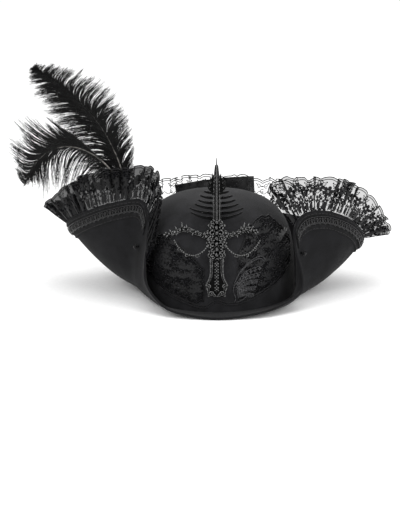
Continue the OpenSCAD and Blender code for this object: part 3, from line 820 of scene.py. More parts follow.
def make_ruffle(side, u0, u1, seed, pitch, tip_swing, rich):
    """The tulle strip and the embroidery on it. rich adds the heavier flowers of the wings' lace."""
    lay, length, narrowing = lace_sheet(u0, u1, seed, pitch, tip_swing)
    film = Sewing()
    along = np.linspace(0, length, int(length / 1.1))
    share = np.linspace(0, 1, 12)
    v = 0.4 + (scallop_edge(along)[:, None] - 0.4) * share
    film.grid(lay(along[:, None] + 0 * v, v)[0])
    tulle = film.piece(f"ruffle_{side}_tulle", RUFFLE_FILMS[side], "hat", "tulle_lace")
    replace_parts(tulle, f"ruffle_{side}")
    art = Embroidery(lay)
    fine = np.linspace(0, length, int(length / 0.9))
    for inset, radius in ((0.5, 0.5), (3.0, 0.4)):
        art.cords([np.stack([fine, scallop_edge(fine) - inset], 1)], radius)
    cells = np.arange(REPEAT / 2, length - REPEAT / 2, REPEAT)
    edge_dots = [petal(1.9, 1.5, 90 + turn, 12.2) for turn in (-42, -14, 14, 42)]
    art.petals(moved([d + (0, 18.5) for d in edge_dots], row_of(cells)), 0.3)
    curls = [scroll(2.7, 1.25, 200, 1) + (-5.2, 29), scroll(2.7, 1.25, -20, -1) + (5.2, 29)]
    art.cords(moved(curls, row_of(cells)), 0.36)
    stems = [np.stack([np.linspace(-REPEAT / 2, REPEAT / 2, 16),
                       21 + 1.6 * np.sin(np.linspace(0, 4 * np.pi, 16))], 1)]
    art.cords(moved(stems, row_of(cells)), 0.34)
    big = rosette(6, 5.6, 4.0, 0.9, 15)
    small = rosette(5, 4.4, 3.4, 0.7, 0)
    leaves = [petal(9, 4.6, 90 + lean, 0.5) + (x, 1.0) for x, lean in ((-7.5, 12), (-2.5, -14), (2.5, 14), (7.5, -12))]
    between = cells + REPEAT / 2
    art.petals(moved(small, np.stack([between, 0 * cells + 13.5], 1)))
    if rich:
        art.petals(moved(big, row_of(cells, 21.5)))
        art.petals(moved(small, np.stack([between, 0 * cells + 26], 1)), 0.3)
        art.petals(moved(rosette(5, 3.9, 3.0, 0.5, 30), row_of(cells, 11)))
        art.petals(moved(leaves, row_of(cells)))
        art.cords(moved([scroll(2.2, 1.1, 60, 1) + (-1.5, 31.5), scroll(2.2, 1.1, 120, -1) + (1.8, 31.5)],
                        np.stack([between, 0 * cells], 1)), 0.34)
    else:
        art.cords(moved([scroll(3.0, 1.1, 90, 1) + (0, 22)], np.stack([between, 0 * cells], 1)), 0.34)
        art.petals(moved(small, row_of(cells, 9)))
    mend = Sewing()
    stitches(mend, lay, length, 0.6, 1.6, 2.6, 0.4)
    threads = art.sewing.piece(f"ruffle_{side}_embroidery", LACE_THREAD, "hat", "tulle_lace")
    gather = mend.piece(f"ruffle_{side}_gathering_stitches", THREAD, "hat", "tulle_lace")


# ---------------------------------------------------------------- inside the crown

LINING_T, BAND_H = 0.8, 22


def make_inside():
    azimuth = np.arange(0, 360, 360 / 120)
    outside = dome_rings(-FELT - SEW_GAP, 0.4, azimuth, 36)
    inside = dome_rings(-FELT - SEW_GAP - LINING_T, 0.4, azimuth, 36)
    sewing = Sewing()
    sewing.grid(outside, closed=True)
    sewing.grid(inside, closed=True, flip=True)
    sewing.grid(np.stack([inside[:, 0], outside[:, 0]], 1), closed=True)
    lining = sewing.piece("crown_lining_satin", LINING, "hat", "satin_lining")
    close_seams(lining)
    drill_for_posts(lining)
    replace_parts(lining, "crown_lining")
    azimuth = np.arange(0, 360, 0.5)
    lift = temple_arch(azimuth)[:, None]
    z = np.linspace(0.6, BAND_H, 12)[None, :] + lift
    rib = 0.12 * np.sin(np.radians(azimuth) * 180)[:, None, None]
    far = FELT + LINING_T + 2 * SEW_GAP + 0.05
    rise = crown_rise(z, -far)
    back = crown_point(azimuth[:, None] + 0 * z, rise, -far)
    across = unit(back * (1, 1, 0))
    front = back - (0.95 + rib) * across
    sewing = Sewing()
    sewing.grid(np.concatenate([back, front[:, ::-1], back[:, :1]], 1), closed=True, flip=True)
    band = sewing.piece("sweatband_grosgrain", GROSGRAIN, "hat", "grosgrain")
    close_seams(band)
    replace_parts(band, "sweatband")


# ---------------------------------------------------------------- lace applique on the crown

def lay_on_front(lift):
    """Lays places drawn in X and Z, as seen from the front, on the crown."""
    on_crown = lay_on_crown(lift)

    def lay(x, z):
        across = CROWN_X * np.cos(np.radians(crown_rise(z))) ** (2 / SQUARENESS)
        return on_crown(np.degrees(np.arcsin(np.clip(x / across, -0.99, 0.99))), z)
    return lay


def bent(points, steps=16):
    """A smooth line through a few points."""
    points = np.asarray(points, float)
    at = np.linspace(0, len(points) - 1, steps)
    i = np.clip(np.floor(at).astype(int), 0, len(points) - 2)
    s = (at - i)[:, None]
    padded = np.concatenate([[2 * points[0] - points[1]], points, [2 * points[-1] - points[-2]]])
    a, b, c, d = (padded[i + k] for k in range(4))
    return through(a, b, c, d, s)


def make_applique(side, x0, x1, low, high, seed):
    """A net panel with corded scrolls and leaves. low and high are its edges' heights across it."""
    lay = lay_on_front(0.35)
    x = np.linspace(x0, x1, 60)
    bottom = np.interp(x, np.linspace(x0, x1, len(low)), low)
    top = np.interp(x, np.linspace(x0, x1, len(high)), high)
    scallop = 1.2 * np.abs(np.sin(np.pi * (x - x0) / 7))
    film = Sewing()
    share = np.linspace(0, 1, 24)[None, :]
    z = (bottom - scallop)[:, None] * (1 - share) + (top + scallop)[:, None] * share
    film.grid(lay(x[:, None] + 0 * z, z)[0])
    net = film.piece(f"applique_{side}_net", APPLIQUE_FILM, "hat", "tulle_lace")
    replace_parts(net, f"applique_{side}")
    art = Embroidery(lay)
    for edge in (bottom - scallop, bottom - scallop + 2.2, top + scallop, top + scallop - 2):
        art.cords([np.stack([x, edge], 1)], 0.4, 5)
    for end in (0, -1):
        run = np.linspace(bottom[end], top[end], 40)
        art.cords([np.stack([x[end] + 0.5 * np.sin(run), run], 1)], 0.4, 5)
    rng = np.random.default_rng(seed)
    spots = []
    for row in range(9):
        for column in range(7):
            cx = x0 + (x1 - x0) * (column + 0.5 + 0.5 * (row % 2) + rng.uniform(-0.2, 0.2)) / 7.6
            lo, hi = np.interp(cx, x, bottom) + 5, np.interp(cx, x, top) - 4
            cz = lo + (hi - lo) * (row + 0.3 + rng.uniform(-0.2, 0.2)) / 8.6
            spots.append((cx, min(cz, hi)))
    spots = np.array(spots)
    kinds = rng.integers(0, 3, len(spots))
    art.cords(moved([scroll(3.4, 1.2, 40, 1), scroll(3.4, 1.2, 220, -1)], spots[kinds == 0]), 0.38)
    art.petals(moved(rosette(5, 3.6, 2.4, 0.6, 20), spots[kinds == 1]), 0.5)
    art.cords(moved([np.vstack([p, p[:1]]) for p in rosette(6, 3.8, 2.6, 0.7)], spots[kinds == 1]), 0.28)
    sprays = [petal(5.5, 2.0, 90 + k, 0.4) for k in (-60, -20, 20, 60)]
    art.petals(moved(sprays, spots[kinds == 2]), 0.45)
    threads = art.sewing.piece(f"applique_{side}_cords", CORD_THREAD, "hat", "tulle_lace")
    wide = walked(lay(x, (bottom + top) / 2)[0])[-1]
    tall = max(walked(lay(x[k] + 0 * share[0], z[k])[0])[-1] for k in range(len(x)))


def make_bright_wing():
    """The shiny corded leaf beside the badge, its ribs fanned from one root."""
    art = Embroidery(lay_on_front(0.9))
    rim = bent([(18, 33), (24, 44), (34, 53), (44, 56), (49, 52)], 24)
    art.cords([rim, rim * (0.97, 0.95) + (0.2, 0.6)], 0.5, 5)
    for k in range(5):
        foot = np.array([18 + 0.6 * k, 30 - 2.4 * k])
        tip = np.array([47 - 2.2 * k, 47 - 7 * k])
        middle = (foot + tip) / 2 + (-3, 4.5 - 0.7 * k)
        art.cords([bent([foot, middle, tip], 18)], 0.42, 5)
        beads = bent([foot, middle, tip], 9)[1:-1] + (0.6, -2.3)
        art.petals(moved(rosette(4, 1.8, 1.3, 0.2, 15 * k), beads), 0.5)
    art.cords([bent([(18, 32), (16.5, 24), (19, 17), (17.5, 12)], 14),
               bent([(20, 12), (27, 15), (33, 21)], 14)], 0.45, 5)
    art.sewing.piece("applique_right_bright_wing", BRIGHT_CORD, "hat", "tulle_lace")
    edging = Embroidery(lay_on_front(0.5))
    for drop in (0, 2.6):
        edging.cords([bent([(-55, 20.4 - drop), (-30, 12.5 - drop), (-12.6, 9 - drop), (0, 15.5 - drop),
                            (13.6, 12 - drop), (38, 17 - drop), (63, 28.5 - drop)], 90)], 0.5, 5)
    edging.sewing.piece("applique_edging_cords", CORD_THREAD, "hat", "tulle_lace")


# ---------------------------------------------------------------- bow and buttons

BOW_Y, BOW_Z, RIBBON_W, LOOP_REACH = 126, 67, 26, 43


def at_bow(points):
    """From the bow's own frame, whose middle is its origin, to the hat's."""
    return turned(points, "X", -13) + (0, BOW_Y, BOW_Z + RIBBON_W / 2)


def turned(points, axis, degrees):
    return np.asarray(points, float) @ np.array(Matrix.Rotation(math.radians(degrees), 3, axis)).T


def cloth(sewing, name, thick, slot="satin_ribbon"):
    obj = sewing.piece(name, RIBBON, "hat", slot)
    return obj


def make_bow():
    for name, side, tilt in (("right", 1, 3), ("left", -1, -10)):
        path = bent([(3.5, -1.0), (14, -4.6), (33, -4.9), (LOOP_REACH - 1.2, -3), (LOOP_REACH, 0),
                     (LOOP_REACH - 1.2, 3), (33, 4.9), (14, 4.6), (3.5, 1.0)], 96)
        width = np.linspace(-0.5, 0.5, 17)[None, :]
        x = path[:, :1] + 0 * width
        pinch = np.clip((x - 2) / 9, 0, 1) ** 0.7
        z = width * RIBBON_W * (0.92 + 0.08 * pinch)
        fold = 1.3 * (1 - pinch) * np.sin(width * 6 * np.pi) + 0.5 * np.sin(x / 7 + 5 * width)
        y = path[:, 1:] + fold
        points = turned(np.stack([side * x, y, z], -1), "Y", tilt * -side)
        sewing = Sewing()
        sewing.grid(at_bow(points), flip=side < 0)
        loop = cloth(sewing, f"bow_loop_{name}_satin", 0.5)
        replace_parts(loop, f"bow_loop_{name}")
        tail = Sewing()
        along, across = np.meshgrid(np.linspace(0, 54, 40), np.linspace(-8, 8, 13), indexing="ij")
        narrow = np.clip(0.35 + along / 14, 0, 1)
        notch = (8 - np.abs(across)) * np.clip((along - 30) / 24, 0, 1)
        hang = np.stack([across * narrow, 1.0 * np.sin(along / 9 + across / 4), -(along - notch)], -1)
        tail.grid(turned(hang, "Y", -14 * side) + (side * 7, BOW_Y - 5.6, BOW_Z + 3))
        end = cloth(tail, f"bow_tail_{name}_satin", 0.5)
        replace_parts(end, f"bow_tail_{name}")
    turn, up = np.meshgrid(np.linspace(0, 2 * np.pi, 48), np.linspace(-7, 7, 15), indexing="ij")
    radius = 4.4 + 0.25 * np.cos(up * 1.9) - 0.5 * np.abs(up / 7) ** 3
    sewing = Sewing()
    sewing.grid(at_bow(np.stack([radius * np.cos(turn), radius * np.sin(turn), up], -1)))
    knot = cloth(sewing, "bow_knot_satin", 0.5)
    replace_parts(knot, "bow_knot")


def tidy_join(parts, name, material, body):
    """Joins the selected parts as one piece whose place is in its mesh."""
    bpy.ops.object.select_all(action="DESELECT")
    for part in parts:
        part.select_set(True)
    bpy.context.view_layer.objects.active = parts[0]
    if len(parts) > 1:
        bpy.ops.object.join()
    obj = bpy.context.object
    bpy.ops.object.transform_apply(location=True, rotation=True, scale=True)
    obj.name = name
    obj.data.materials.clear()
    obj.data.materials.append(material)
    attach(obj, body)
    return obj


def ball(place, radius, squash=(1, 1, 1), segments=16, rings=10):
    bpy.ops.mesh.primitive_uv_sphere_add(segments=segments, ring_count=rings, radius=radius * MM,
                                         location=[c * MM for c in place], scale=squash)
    bpy.ops.object.shade_smooth()
    return bpy.context.object


def rods(lines, sides=3):
    """Round rods along lines of (points, radii), as bevelled curves turned to one mesh."""
    curve = bpy.data.curves.new("rods", "CURVE")
    curve.dimensions = "3D"
    curve.bevel_depth = MM
    curve.bevel_resolution = sides
    curve.use_fill_caps = True
    for points, radii in lines:
        points = np.asarray(points, float)
        spline = curve.splines.new("POLY")
        spline.points.add(len(points) - 1)
        spline.points.foreach_set("co", np.concatenate([points * MM, np.ones((len(points), 1))], 1).ravel())
        spline.points.foreach_set("radius", np.broadcast_to(radii, len(points)).astype(float))
    obj = bpy.data.objects.new("rods", curve)
    bpy.context.scene.collection.objects.link(obj)
    bpy.ops.object.select_all(action="DESELECT")
    obj.select_set(True)
    bpy.context.view_layer.objects.active = obj
    bpy.ops.object.convert(target="MESH")
    bpy.ops.object.shade_smooth()
    return bpy.context.object


def make_buttons():
    for side, u, t in (("right", 6.1, 0.8), ("left", 25.9, 0.74)):
        place, normal = brim_point(u, t), brim_normal(u, t)
        place, normal = np.ravel(place), np.ravel(normal)
        turn = Vector(normal).to_track_quat("Z", "Y").to_matrix()
        seat = np.array(turn)

        def stand(points):
            return np.asarray(points, float) @ seat.T + place + 3.0 * normal
        parts = [ball(stand([(0, 0, 1.9)])[0], 2.3, (1, 1, 0.5), 32, 20)]
        parts[0].rotation_euler = turn.to_euler()
        ring = np.linspace(0, 2 * np.pi, 40)
        parts.append(rods([(stand(np.stack([2.4 * np.cos(ring), 2.4 * np.sin(ring), 0.3 + 0 * ring], 1)), 0.45)]))
        parts.append(rods([(stand([(0, 0, 0.5), (0, 0, -5)]), 0.9)]))
        for angle in (20, 110, 200, 290):
            c, k = heading(angle)
            parts.append(ball(stand([(1.1 * c, 1.1 * k, 1.7)])[0], 0.42))
        button = tidy_join(parts, f"tack_button_{side}_resin", BUTTON, "hat")
        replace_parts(button, f"tack_button_{side}")


# ---------------------------------------------------------------- the cast badge

PLATE_Y = -CROWN_Y - 3.4
SHAFT = [(8.4, 20), (9.8, 26), (11.2, 32), (8, 40), (7, 48), (7.2, 58)]


def at_boss(points):
    """From the cross's face, X across, Y up it and Z out of it, to the hat's frame."""
    return turned(points, "X", 60) + (0, -CROWN_Y - 2.5, 56)


def at_spine(points):
    """From the spine's foot, Z up it and -Y out of it, to the hat's frame."""
    return turned(points, "X", -18) + (0, -80, 92)


def cast(parts, name, material, nodes, voxel=0.42, lump=0.22):
    """Melts parts into one casting with slightly lumpy skin."""
    obj = tidy_join(parts, name, material, "badge")
    bpy.ops.object.select_all(action="DESELECT")
    obj.select_set(True)
    bpy.context.view_layer.objects.active = obj
    remesh = obj.modifiers.new("melt", "REMESH")
    remesh.mode = "VOXEL"
    remesh.voxel_size = voxel * MM
    remesh.use_smooth_shade = True
    bpy.ops.object.modifier_apply(modifier="melt")
    if lump:
        grain = bpy.data.textures.new("cast_grain", "CLOUDS")
        grain.noise_scale = 1.6 * MM
        push = obj.modifiers.new("lump", "DISPLACE")
        push.texture = grain
        push.texture_coords = "LOCAL"
        push.strength = lump * 2 * MM
        bpy.ops.object.modifier_apply(modifier="lump")
    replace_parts(obj, *nodes)
    return obj


def curl(centre, radius, turns, angle, hand, depth, points=18, rise=0.0):
    """A scroll on the badge's face, at a depth out of it."""
    flat = scroll(radius, turns, angle, hand, points)
    return np.stack([centre[0] + flat[:, 0], centre[1] + flat[:, 1],
                     depth + rise * np.linspace(1, 0, points)], 1)


def make_boss():
    lines, parts = [], []
    outline = [(-5.5, 1), (-8, 6), (-6.6, 12), (-9.2, 17), (-8.4, 24), (-11, 29), (-6.6, 33), (-7.4, 38), (-3, 43)]
    for side in (1, -1):
        edge = bent([(-side * x, y) for x, y in outline], 60)
        edge[:, 0] += 0.5 * side * np.sin(edge[:, 1] * 1.4)
        lines.append((np.c_[edge, 1.8 + 0.7 * np.sin(edge[:, 1] * 0.9)], 1.15 + 0.3 * np.sin(edge[:, 1] * 2.1)))
        for y, r, turn, hand in ((5, 3.0, 200, 1), (10.5, 2.6, 120, -1), (16, 3.6, 200, 1), (22, 2.8, 90, -1),
                                 (28.5, 4.0, 180, 1), (34.5, 3.0, 240, -1), (39.5, 2.2, 180, 1)):
            lines.append((curl((side * 4.3, y), r, 1.2, turn if side > 0 else 180 - turn, hand * side, 2.6, rise=1.2),
                          0.85))
        for x, y, r in ((3.2, 7.5, 1.2), (6.2, 13.5, 1.1), (7.4, 19, 1.3), (4.2, 25, 1.3), (9.2, 28.5, 1.4),
                        (4.5, 31.5, 1.2), (5.4, 36.5, 1.2), (2.4, 41.5, 1.3)):
            parts.append(ball(at_boss([(side * x, y, 3.4)])[0], r, segments=12, rings=8))
    spine = np.linspace(0.5, 43.5, 60)
    lines.append((np.c_[0.4 * np.sin(spine * 1.8), spine, 2.8 + 0.6 * np.cos(spine * 1.1)],
                  1.5 + 0.5 * np.cos(spine * 1.1)))
    lines = [(at_boss(p), r) for p, r in lines]
    bpy.ops.mesh.primitive_cube_add(size=1)
    plate = bpy.context.object
    plate.scale = (0.0125, 0.038, 0.0014)
    plate.rotation_euler = (math.radians(60), 0, 0)
    plate.location = at_boss([(0, 22, 0.8)])[0] * MM
    cast([rods(lines), plate] + parts, "badge_boss_casting", BADGE_BRIGHT, ["badge_boss"])


def make_arm(name, side, rise, length, arch):
    def at_arm(points):
        points = np.asarray(points, float) * (side, 1, 1)
        return at_boss(turned(turned(points, "Z", side * rise), "Y", side * 20) + (side * 7.5, 27, 2.4))
    x = np.linspace(-2, length, 90)
    share = np.clip(x / length, 0, 1)
    middle = np.interp(share, [0, 0.2, 0.45, 0.6, 0.78, 1], arch)
    wide = np.interp(share, [0, 0.25, 0.5, 0.65, 0.85, 1], [2.0, 1.5, 2.2, 2.4, 1.4, 0.5])
    lines = []
    for phase in (0, 2.1, 4.2):
        spin = x * 0.75 + phase
        lines.append((np.c_[x, middle + wide * np.cos(spin), 0.8 * np.sin(spin)], 0.75 + 0.25 * wide / 2.4))
    lines.append((np.c_[x, middle, 0 * x], 0.8 + 0 * x))
    for at, tall, bend in ((0.12, 3.8, -1), (0.36, -4.2, 1), (0.52, 5.4, 1.5), (0.62, 7.6, 2.6), (0.74, 5.6, 3),
                           (0.7, -4.6, 2), (0.86, 4.0, 3), (0.96, 2.8, 2), (0.92, -3.6, 2), (0.24, 3.8, 2)):
        foot = np.interp(at, share, middle)
        lines.append((bent([(at * length, foot, 0.4), (at * length + bend * 0.3, foot + tall * 0.6, 1.2),
                            (at * length + bend, foot + tall, 0.6)], 10), np.linspace(1.15, 0.3, 10)))
    for at in (0.2, 0.42, 0.58, 0.7, 0.82):
        place = (at * length, np.interp(at, share, middle))
        lines.append((curl(place, 2.2, 1.2, 90 + 200 * at, 1, 1.0, rise=0.9), 0.65))
    parts = [ball(at_arm([(at * length, np.interp(at, share, middle) + lift, 1.4)])[0], r, segments=12, rings=8)
             for at, lift, r in ((0.05, 0, 1.7), (0.3, 0.6, 1.3), (0.48, 0, 1.3), (0.57, 1.6, 1.4), (0.66, 0, 1.6),
                                 (0.77, 0.5, 1.3), (0.9, 0, 1.1), (1.0, 0, 0.9))]
    cast([rods([(at_arm(p), r) for p, r in lines])] + parts, f"badge_arm_{name}_casting", BADGE_BRIGHT,
         [f"badge_arm_{name}"], 0.4)


def make_shaft():
    sewing = Sewing()
    z = np.linspace(SHAFT[0][1], SHAFT[-1][1], 40)
    half = np.interp(z, [p[1] for p in SHAFT], [p[0] for p in SHAFT]) - 0.3
    x = np.linspace(-1, 1, 15)[None, :] * half[:, None]
    front = np.stack([x, PLATE_Y - 1.2 + 0 * x, z[:, None] + 0 * x], -1)
    back = front * (1, 0, 1) + (0, PLATE_Y, 0)
    sewing.slab(front, back)
    base = sewing.piece("badge_back_plate_sheet", BADGE_DARK, "badge", "gunmetal")
    close_seams(base)
    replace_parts(base, "badge_back_plate")
    lines, parts = [], []
    y = PLATE_Y - 2.5
    for side in (1, -1):
        edge = bent([(side * (w - 0.9), h) for w, h in SHAFT], 60)
        lines.append((np.c_[edge[:, 0], y + 0.2 * np.sin(edge[:, 1] * 1.3), edge[:, 1]],
                      0.85 + 0.2 * np.sin(edge[:, 1] * 1.7) ** 2))
        thin = bent([(side * (w - 2.7), h) for w, h in SHAFT], 50)
        lines.append((np.c_[thin[:, 0], y + 0.3 + 0 * thin[:, 0], thin[:, 1]], 0.4))
        for centre, r, angle in (((side * 5.6, 23.4), 2.6, 90), ((side * 8.0, 31.4), 2.2, 200),
                                 ((side * 2.4, 21.8), 1.7, 20)):
            flat = scroll(r, 1.2, angle if side > 0 else 180 - angle, side, 16)
            lines.append((np.c_[centre[0] + flat[:, 0], y - 0.4 + 0 * flat[:, 0], centre[1] + flat[:, 1]], 0.6))
        for w, h, r in ((8.0, 21.0, 1.4), (10.2, 32, 1.5), (7.0, 40, 1.1), (6.2, 48, 0.9), (6.4, 57, 1.2)):
            parts.append(ball((side * w, y - 0.2, h), r, (1, 0.8, 1), 12, 8))
    lines.append((np.array([(-8, y, 20.6), (-4, y - 0.3, 22.4), (0, y, 20.4), (4, y - 0.3, 22.4), (8, y, 20.6)]), 0.8))
    cast([rods(lines)] + parts, "badge_rails_casting", BADGE_BRIGHT, ["badge_rails"], 0.36, 0.12)
    blooms, stalks = [], []
    for h in (28, 34.5, 41, 47, 53):
        for turn in (45, 135, 225, 315):
            c, k = heading(turn)
            blooms.append(ball((1.75 * c, PLATE_Y - 2.2, h + 1.75 * k), 1.2, (1, 0.7, 1), 12, 8))
        blooms.append(ball((0, PLATE_Y - 2.9, h), 1.15, segments=12, rings=8))
        stalks.append((np.array([(0, PLATE_Y - 1.7, h - 3.4), (0, PLATE_Y - 1.9, h + 3.4)]), 0.45))
    cast([rods(stalks)] + blooms, "badge_florets_casting", BADGE_BRIGHT, ["badge_florets"], 0.34, 0.08)


def make_swag(name, side, reach):
    ends = np.array([(side * 9, -CROWN_Y - 1, 72), (side * reach * 0.45, -CROWN_Y - 4, 56),
                     (side * reach * 0.8, -CROWN_Y + 6, 58), (side * reach, -CROWN_Y + 19, 73)])
    line = bezier(*ends, np.linspace(0, 1, 60))
    walk = walked(line)
    parts = [rods([(line, 0.45)])]
    for k, at in enumerate(np.arange(1.2, walk[-1] - 0.6, 2.5)):
        place = [np.interp(at, walk, line[:, c]) for c in range(3)]
        parts.append(ball(place, 1.25 if k % 3 == 0 else 0.9, segments=12, rings=8))
    for at in (0.3, 0.55, 0.78):
        place = np.array([np.interp(at * walk[-1], walk, line[:, c]) for c in range(3)])
        flat = scroll(2.0, 1.3, 90, side, 16)
        parts.append(rods([(place + np.c_[flat[:, 0], 0 * flat[:, 0] - 0.3, flat[:, 1] - 1.2], 0.5)]))
    cast(parts, f"badge_swag_{name}_casting", BADGE_BRIGHT, [f"badge_swag_{name}"], 0.34, 0.08)


def make_spine():
    z = np.linspace(0, 64, 110)
    lines = [(np.c_[0 * z, -0.6 + 0 * z, z], np.interp(z, [0, 30, 50, 64], [1.5, 1.4, 1.2, 0.45]))]
    for side in (1, -1):
        low = z[z < 57]
        half = np.interp(low, [0, 22, 44, 57], [2.5, 2.8, 2.2, 1.1])
        lines.append((np.c_[side * half, 0.1 + 0 * low, low], np.interp(low, [0, 44, 57], [1.25, 1.15, 0.6])))
    for k in range(9):
        h = 2 + 5.2 * k
        lines.append((np.array([(-3.1, 0.2, h), (0, -0.9, h + 0.6), (3.1, 0.2, h)]), 0.7))
    for h in (48, 51, 54):
        for side in (1, -1):
            lines.append((np.array([(0, 0, h), (side * 1.8, 0, h + 2.2)]), (0.7, 0.25)))
    cast([rods([(at_spine(p), r) for p, r in lines])], "badge_spine_casting", BADGE_BRIGHT, ["badge_spine"], 0.36, 0.1)
    claws = []
    for side in (1, -1):
        for low, reach, high in ((27, 6.5, 34), (30, 9.6, 38), (34, 8.6, 42), (38, 6.6, 45), (41, 4.6, 49)):
            claws.append((bent([(side * 2.4, 0.6, low), (side * reach * 0.8, -0.4, (low + high) / 2 - 1),
                                (side * reach, 0.8, high)], 12), np.linspace(1.7, 0.35, 12)))
        claws.append((bent([(side * 3.2, 1, 28), (side * 4.6, 1, 36), (side * 3.2, 1, 46)], 14), 1.7))
    cast([rods([(at_spine(p), r) for p, r in claws])], "badge_collar_casting", BADGE_DARK, ["badge_collar"], 0.42, 0.2)


def make_ribs(name, side):
    lines, parts = [], []
    for i, length in enumerate((27, 28, 23, 20, 17, 13)):
        foot = 3 + 5.2 * i
        s = np.linspace(0, 1, 26)
        line = np.c_[side * (2.6 + (length - 3) * s), 1.0 + 5 * s * s, foot + (8 - i) * s * s - 1.5 * s]
        lines.append((line, 1.35 * (1 - s) ** 0.6 + 0.3))
        lines.append((line + (0, -0.5, 0.95), 0.42 * (1 - s) + 0.3 + 0.12 * np.sin(s * 50)))
        parts.append(ball(at_spine([(side * 4.2, 0.4, foot)])[0], 1.4, segments=12, rings=8))
    cast([rods([(at_spine(p), r) for p, r in lines])] + parts, f"badge_ribs_{name}_casting", BADGE_MID,
         [f"badge_ribs_{name}"], 0.36, 0.08)


def threaded(height, y0, y1, radius):
    """A screw thread's ridge round a post."""
    turn = np.linspace(0, 2 * np.pi * (y1 - y0) / THREAD_PITCH, int((y1 - y0) / THREAD_PITCH * 14))
    return np.c_[radius * np.cos(turn), y0 + THREAD_PITCH * turn / (2 * np.pi), height + radius * np.sin(turn)]


def make_posts():
    for name, height, nut_y in zip(("lower", "upper"), POST_HEIGHTS, (5.2 - CROWN_Y, 9.6 - CROWN_Y)):
        body = pin((0, nut_y + NUT_LONG / 2, height), NUT_R, NUT_LONG)
        flange = pin((0, nut_y + FLANGE_LONG / 2, height), FLANGE_R, FLANGE_LONG)
        nut = tidy_join([body, flange], f"post_nut_{name}_steel", STEEL, f"{name}_nut")
        bore(nut, pin((0, nut_y, height), NUT_BORE_R, 20), has_joined_parts=True)
        grips = [([(NUT_R * math.cos(a), nut_y + y, height + NUT_R * math.sin(a)) for y in (1.1, 3.3)], 0.22)
                 for a in np.linspace(0, 2 * math.pi, 30, endpoint=False)]
        tidy_join([rods(grips, 1)], f"post_nut_{name}_knurl", STEEL, f"{name}_nut")
        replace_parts(nut, f"post_nut_{name}")
    parts = [rods([([(0, PLATE_Y, h), (0, PLATE_Y + 16, h)], POST_R),
                   (threaded(h, PLATE_Y + 2, PLATE_Y + 15.6, 1.4), 0.1)]) for h in POST_HEIGHTS]
    posts = tidy_join(parts, "badge_posts_steel", STEEL, "badge")
    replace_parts(posts, "badge_posts")


# ---------------------------------------------------------------- plumes

SOCKET_X, SOCKET_R, SOCKET_BORE_R, SOCKET_LONG = -90, 4.2, 2.5, 42
STEM_R = 2.15
TAPE_TURNS = 26
STEM_TOP = np.array((SOCKET_X, 0, 82))


def barbs_from(quill, y, ends, count, seed, spring, clump, spread):
    """Barbs on one side of a quill. ends is (share along the quill, x, z) of their tips, and they are
    gathered in tufts, as damp or handled ostrich barbs are."""
    rng = np.random.default_rng(seed)
    ends = np.asarray(ends, float)
    s = np.sort(rng.uniform(ends[0, 0], ends[-1, 0], count))
    tuft = np.floor(s * clump + 0.35 * np.sin(s * 60))
    centre = (tuft + 0.5) / clump
    tip_s = np.clip(s + (centre - s) * rng.uniform(0.2, 0.75, count), ends[0, 0], ends[-1, 0])
    foot = quill(s)
    along = unit(quill(np.minimum(s + 0.02, 1.02)) - quill(s - 0.02))
    tip = np.stack([np.interp(tip_s, ends[:, 0], ends[:, 1]), y + spread * rng.normal(0, 1, count),
                    np.interp(tip_s, ends[:, 0], ends[:, 2])], 1)
    length = np.linalg.norm(tip - foot, axis=1)
    tuft_long = 0.9 + 0.16 * smooth_noise(tuft, seed + 5, 1.0)
    tip = foot + (tip - foot) * (tuft_long * rng.uniform(0.78, 1.04, count))[:, None]
    control = foot + along * (spring * length)[:, None]
    control[:, 1] = (foot[:, 1] + tip[:, 1]) / 2 + spread * 0.4 * rng.normal(0, 1, count)
    step = np.linspace(0, 1, 13)[None, :, None]
    line = (1 - step) ** 2 * foot[:, None] + 2 * step * (1 - step) * control[:, None] + step ** 2 * tip[:, None]
    droop = rng.normal(0, 0.8, (count, 1)) * step[..., 0] ** 2
    line[..., 2] += droop
    return line


def fluff(sewing, lines, seed, per_barb=9, long=3.0):
    """Short barbules that stand off each barb."""
    rng = np.random.default_rng(seed)
    count = len(lines)
    at = rng.uniform(0.1, 0.97, (count, per_barb)) * (lines.shape[1] - 1.001)
    i = np.floor(at).astype(int)
    f = (at - i)[..., None]
    rows = np.arange(count)[:, None]
    foot = lines[rows, i] * (1 - f) + lines[rows, i + 1] * f
    along = unit(lines[rows, i + 1] - lines[rows, i])
    aside = rng.normal(0, 1, foot.shape) * (1, 0.6, 1)
    out = unit(along * 1.1 + 0.75 * unit(aside))
    size = long * rng.uniform(0.5, 1.1, (count, per_barb, 1))
    tips = foot + out * size
    path = np.stack([foot, (foot + tips) / 2 + 0.15 * size * unit(aside), tips], 2).reshape(-1, 3, 3)
    sewing.tubes(path, np.array((0.12, 0.1, 0.03))[None], 3, (0, 1, 0))


def make_plume(name, curve, y, sides, quill_r, seed):
    def quill(s):
        return bezier(*curve, s)
    for k, (part, ends, count, spring, clump, spread) in enumerate(sides):
        sewing = Sewing()
        lines = barbs_from(quill, y, ends, count, seed + k, spring, clump, spread)
        taper = np.interp(np.linspace(0, 1, 13), [0, 0.5, 1], [0.34, 0.3, 0.08])
        sewing.tubes(lines, taper[None], 3, (0, 1, 0), 0.6)
        fluff(sewing, lines, seed + 20 + k, 6)
        vane = sewing.piece(f"{name}_{part}_barbs", PLUME, "plumes", "ostrich_barbs")
        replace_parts(vane, f"{name}_vane")
    s = np.linspace(0, 1, 60)
    shaft = tidy_join([rods([(quill(s), np.interp(s, (0, 1), quill_r))])],
                      f"{name}_quill_horn", QUILL, "plumes")
    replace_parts(shaft, f"{name}_quill")


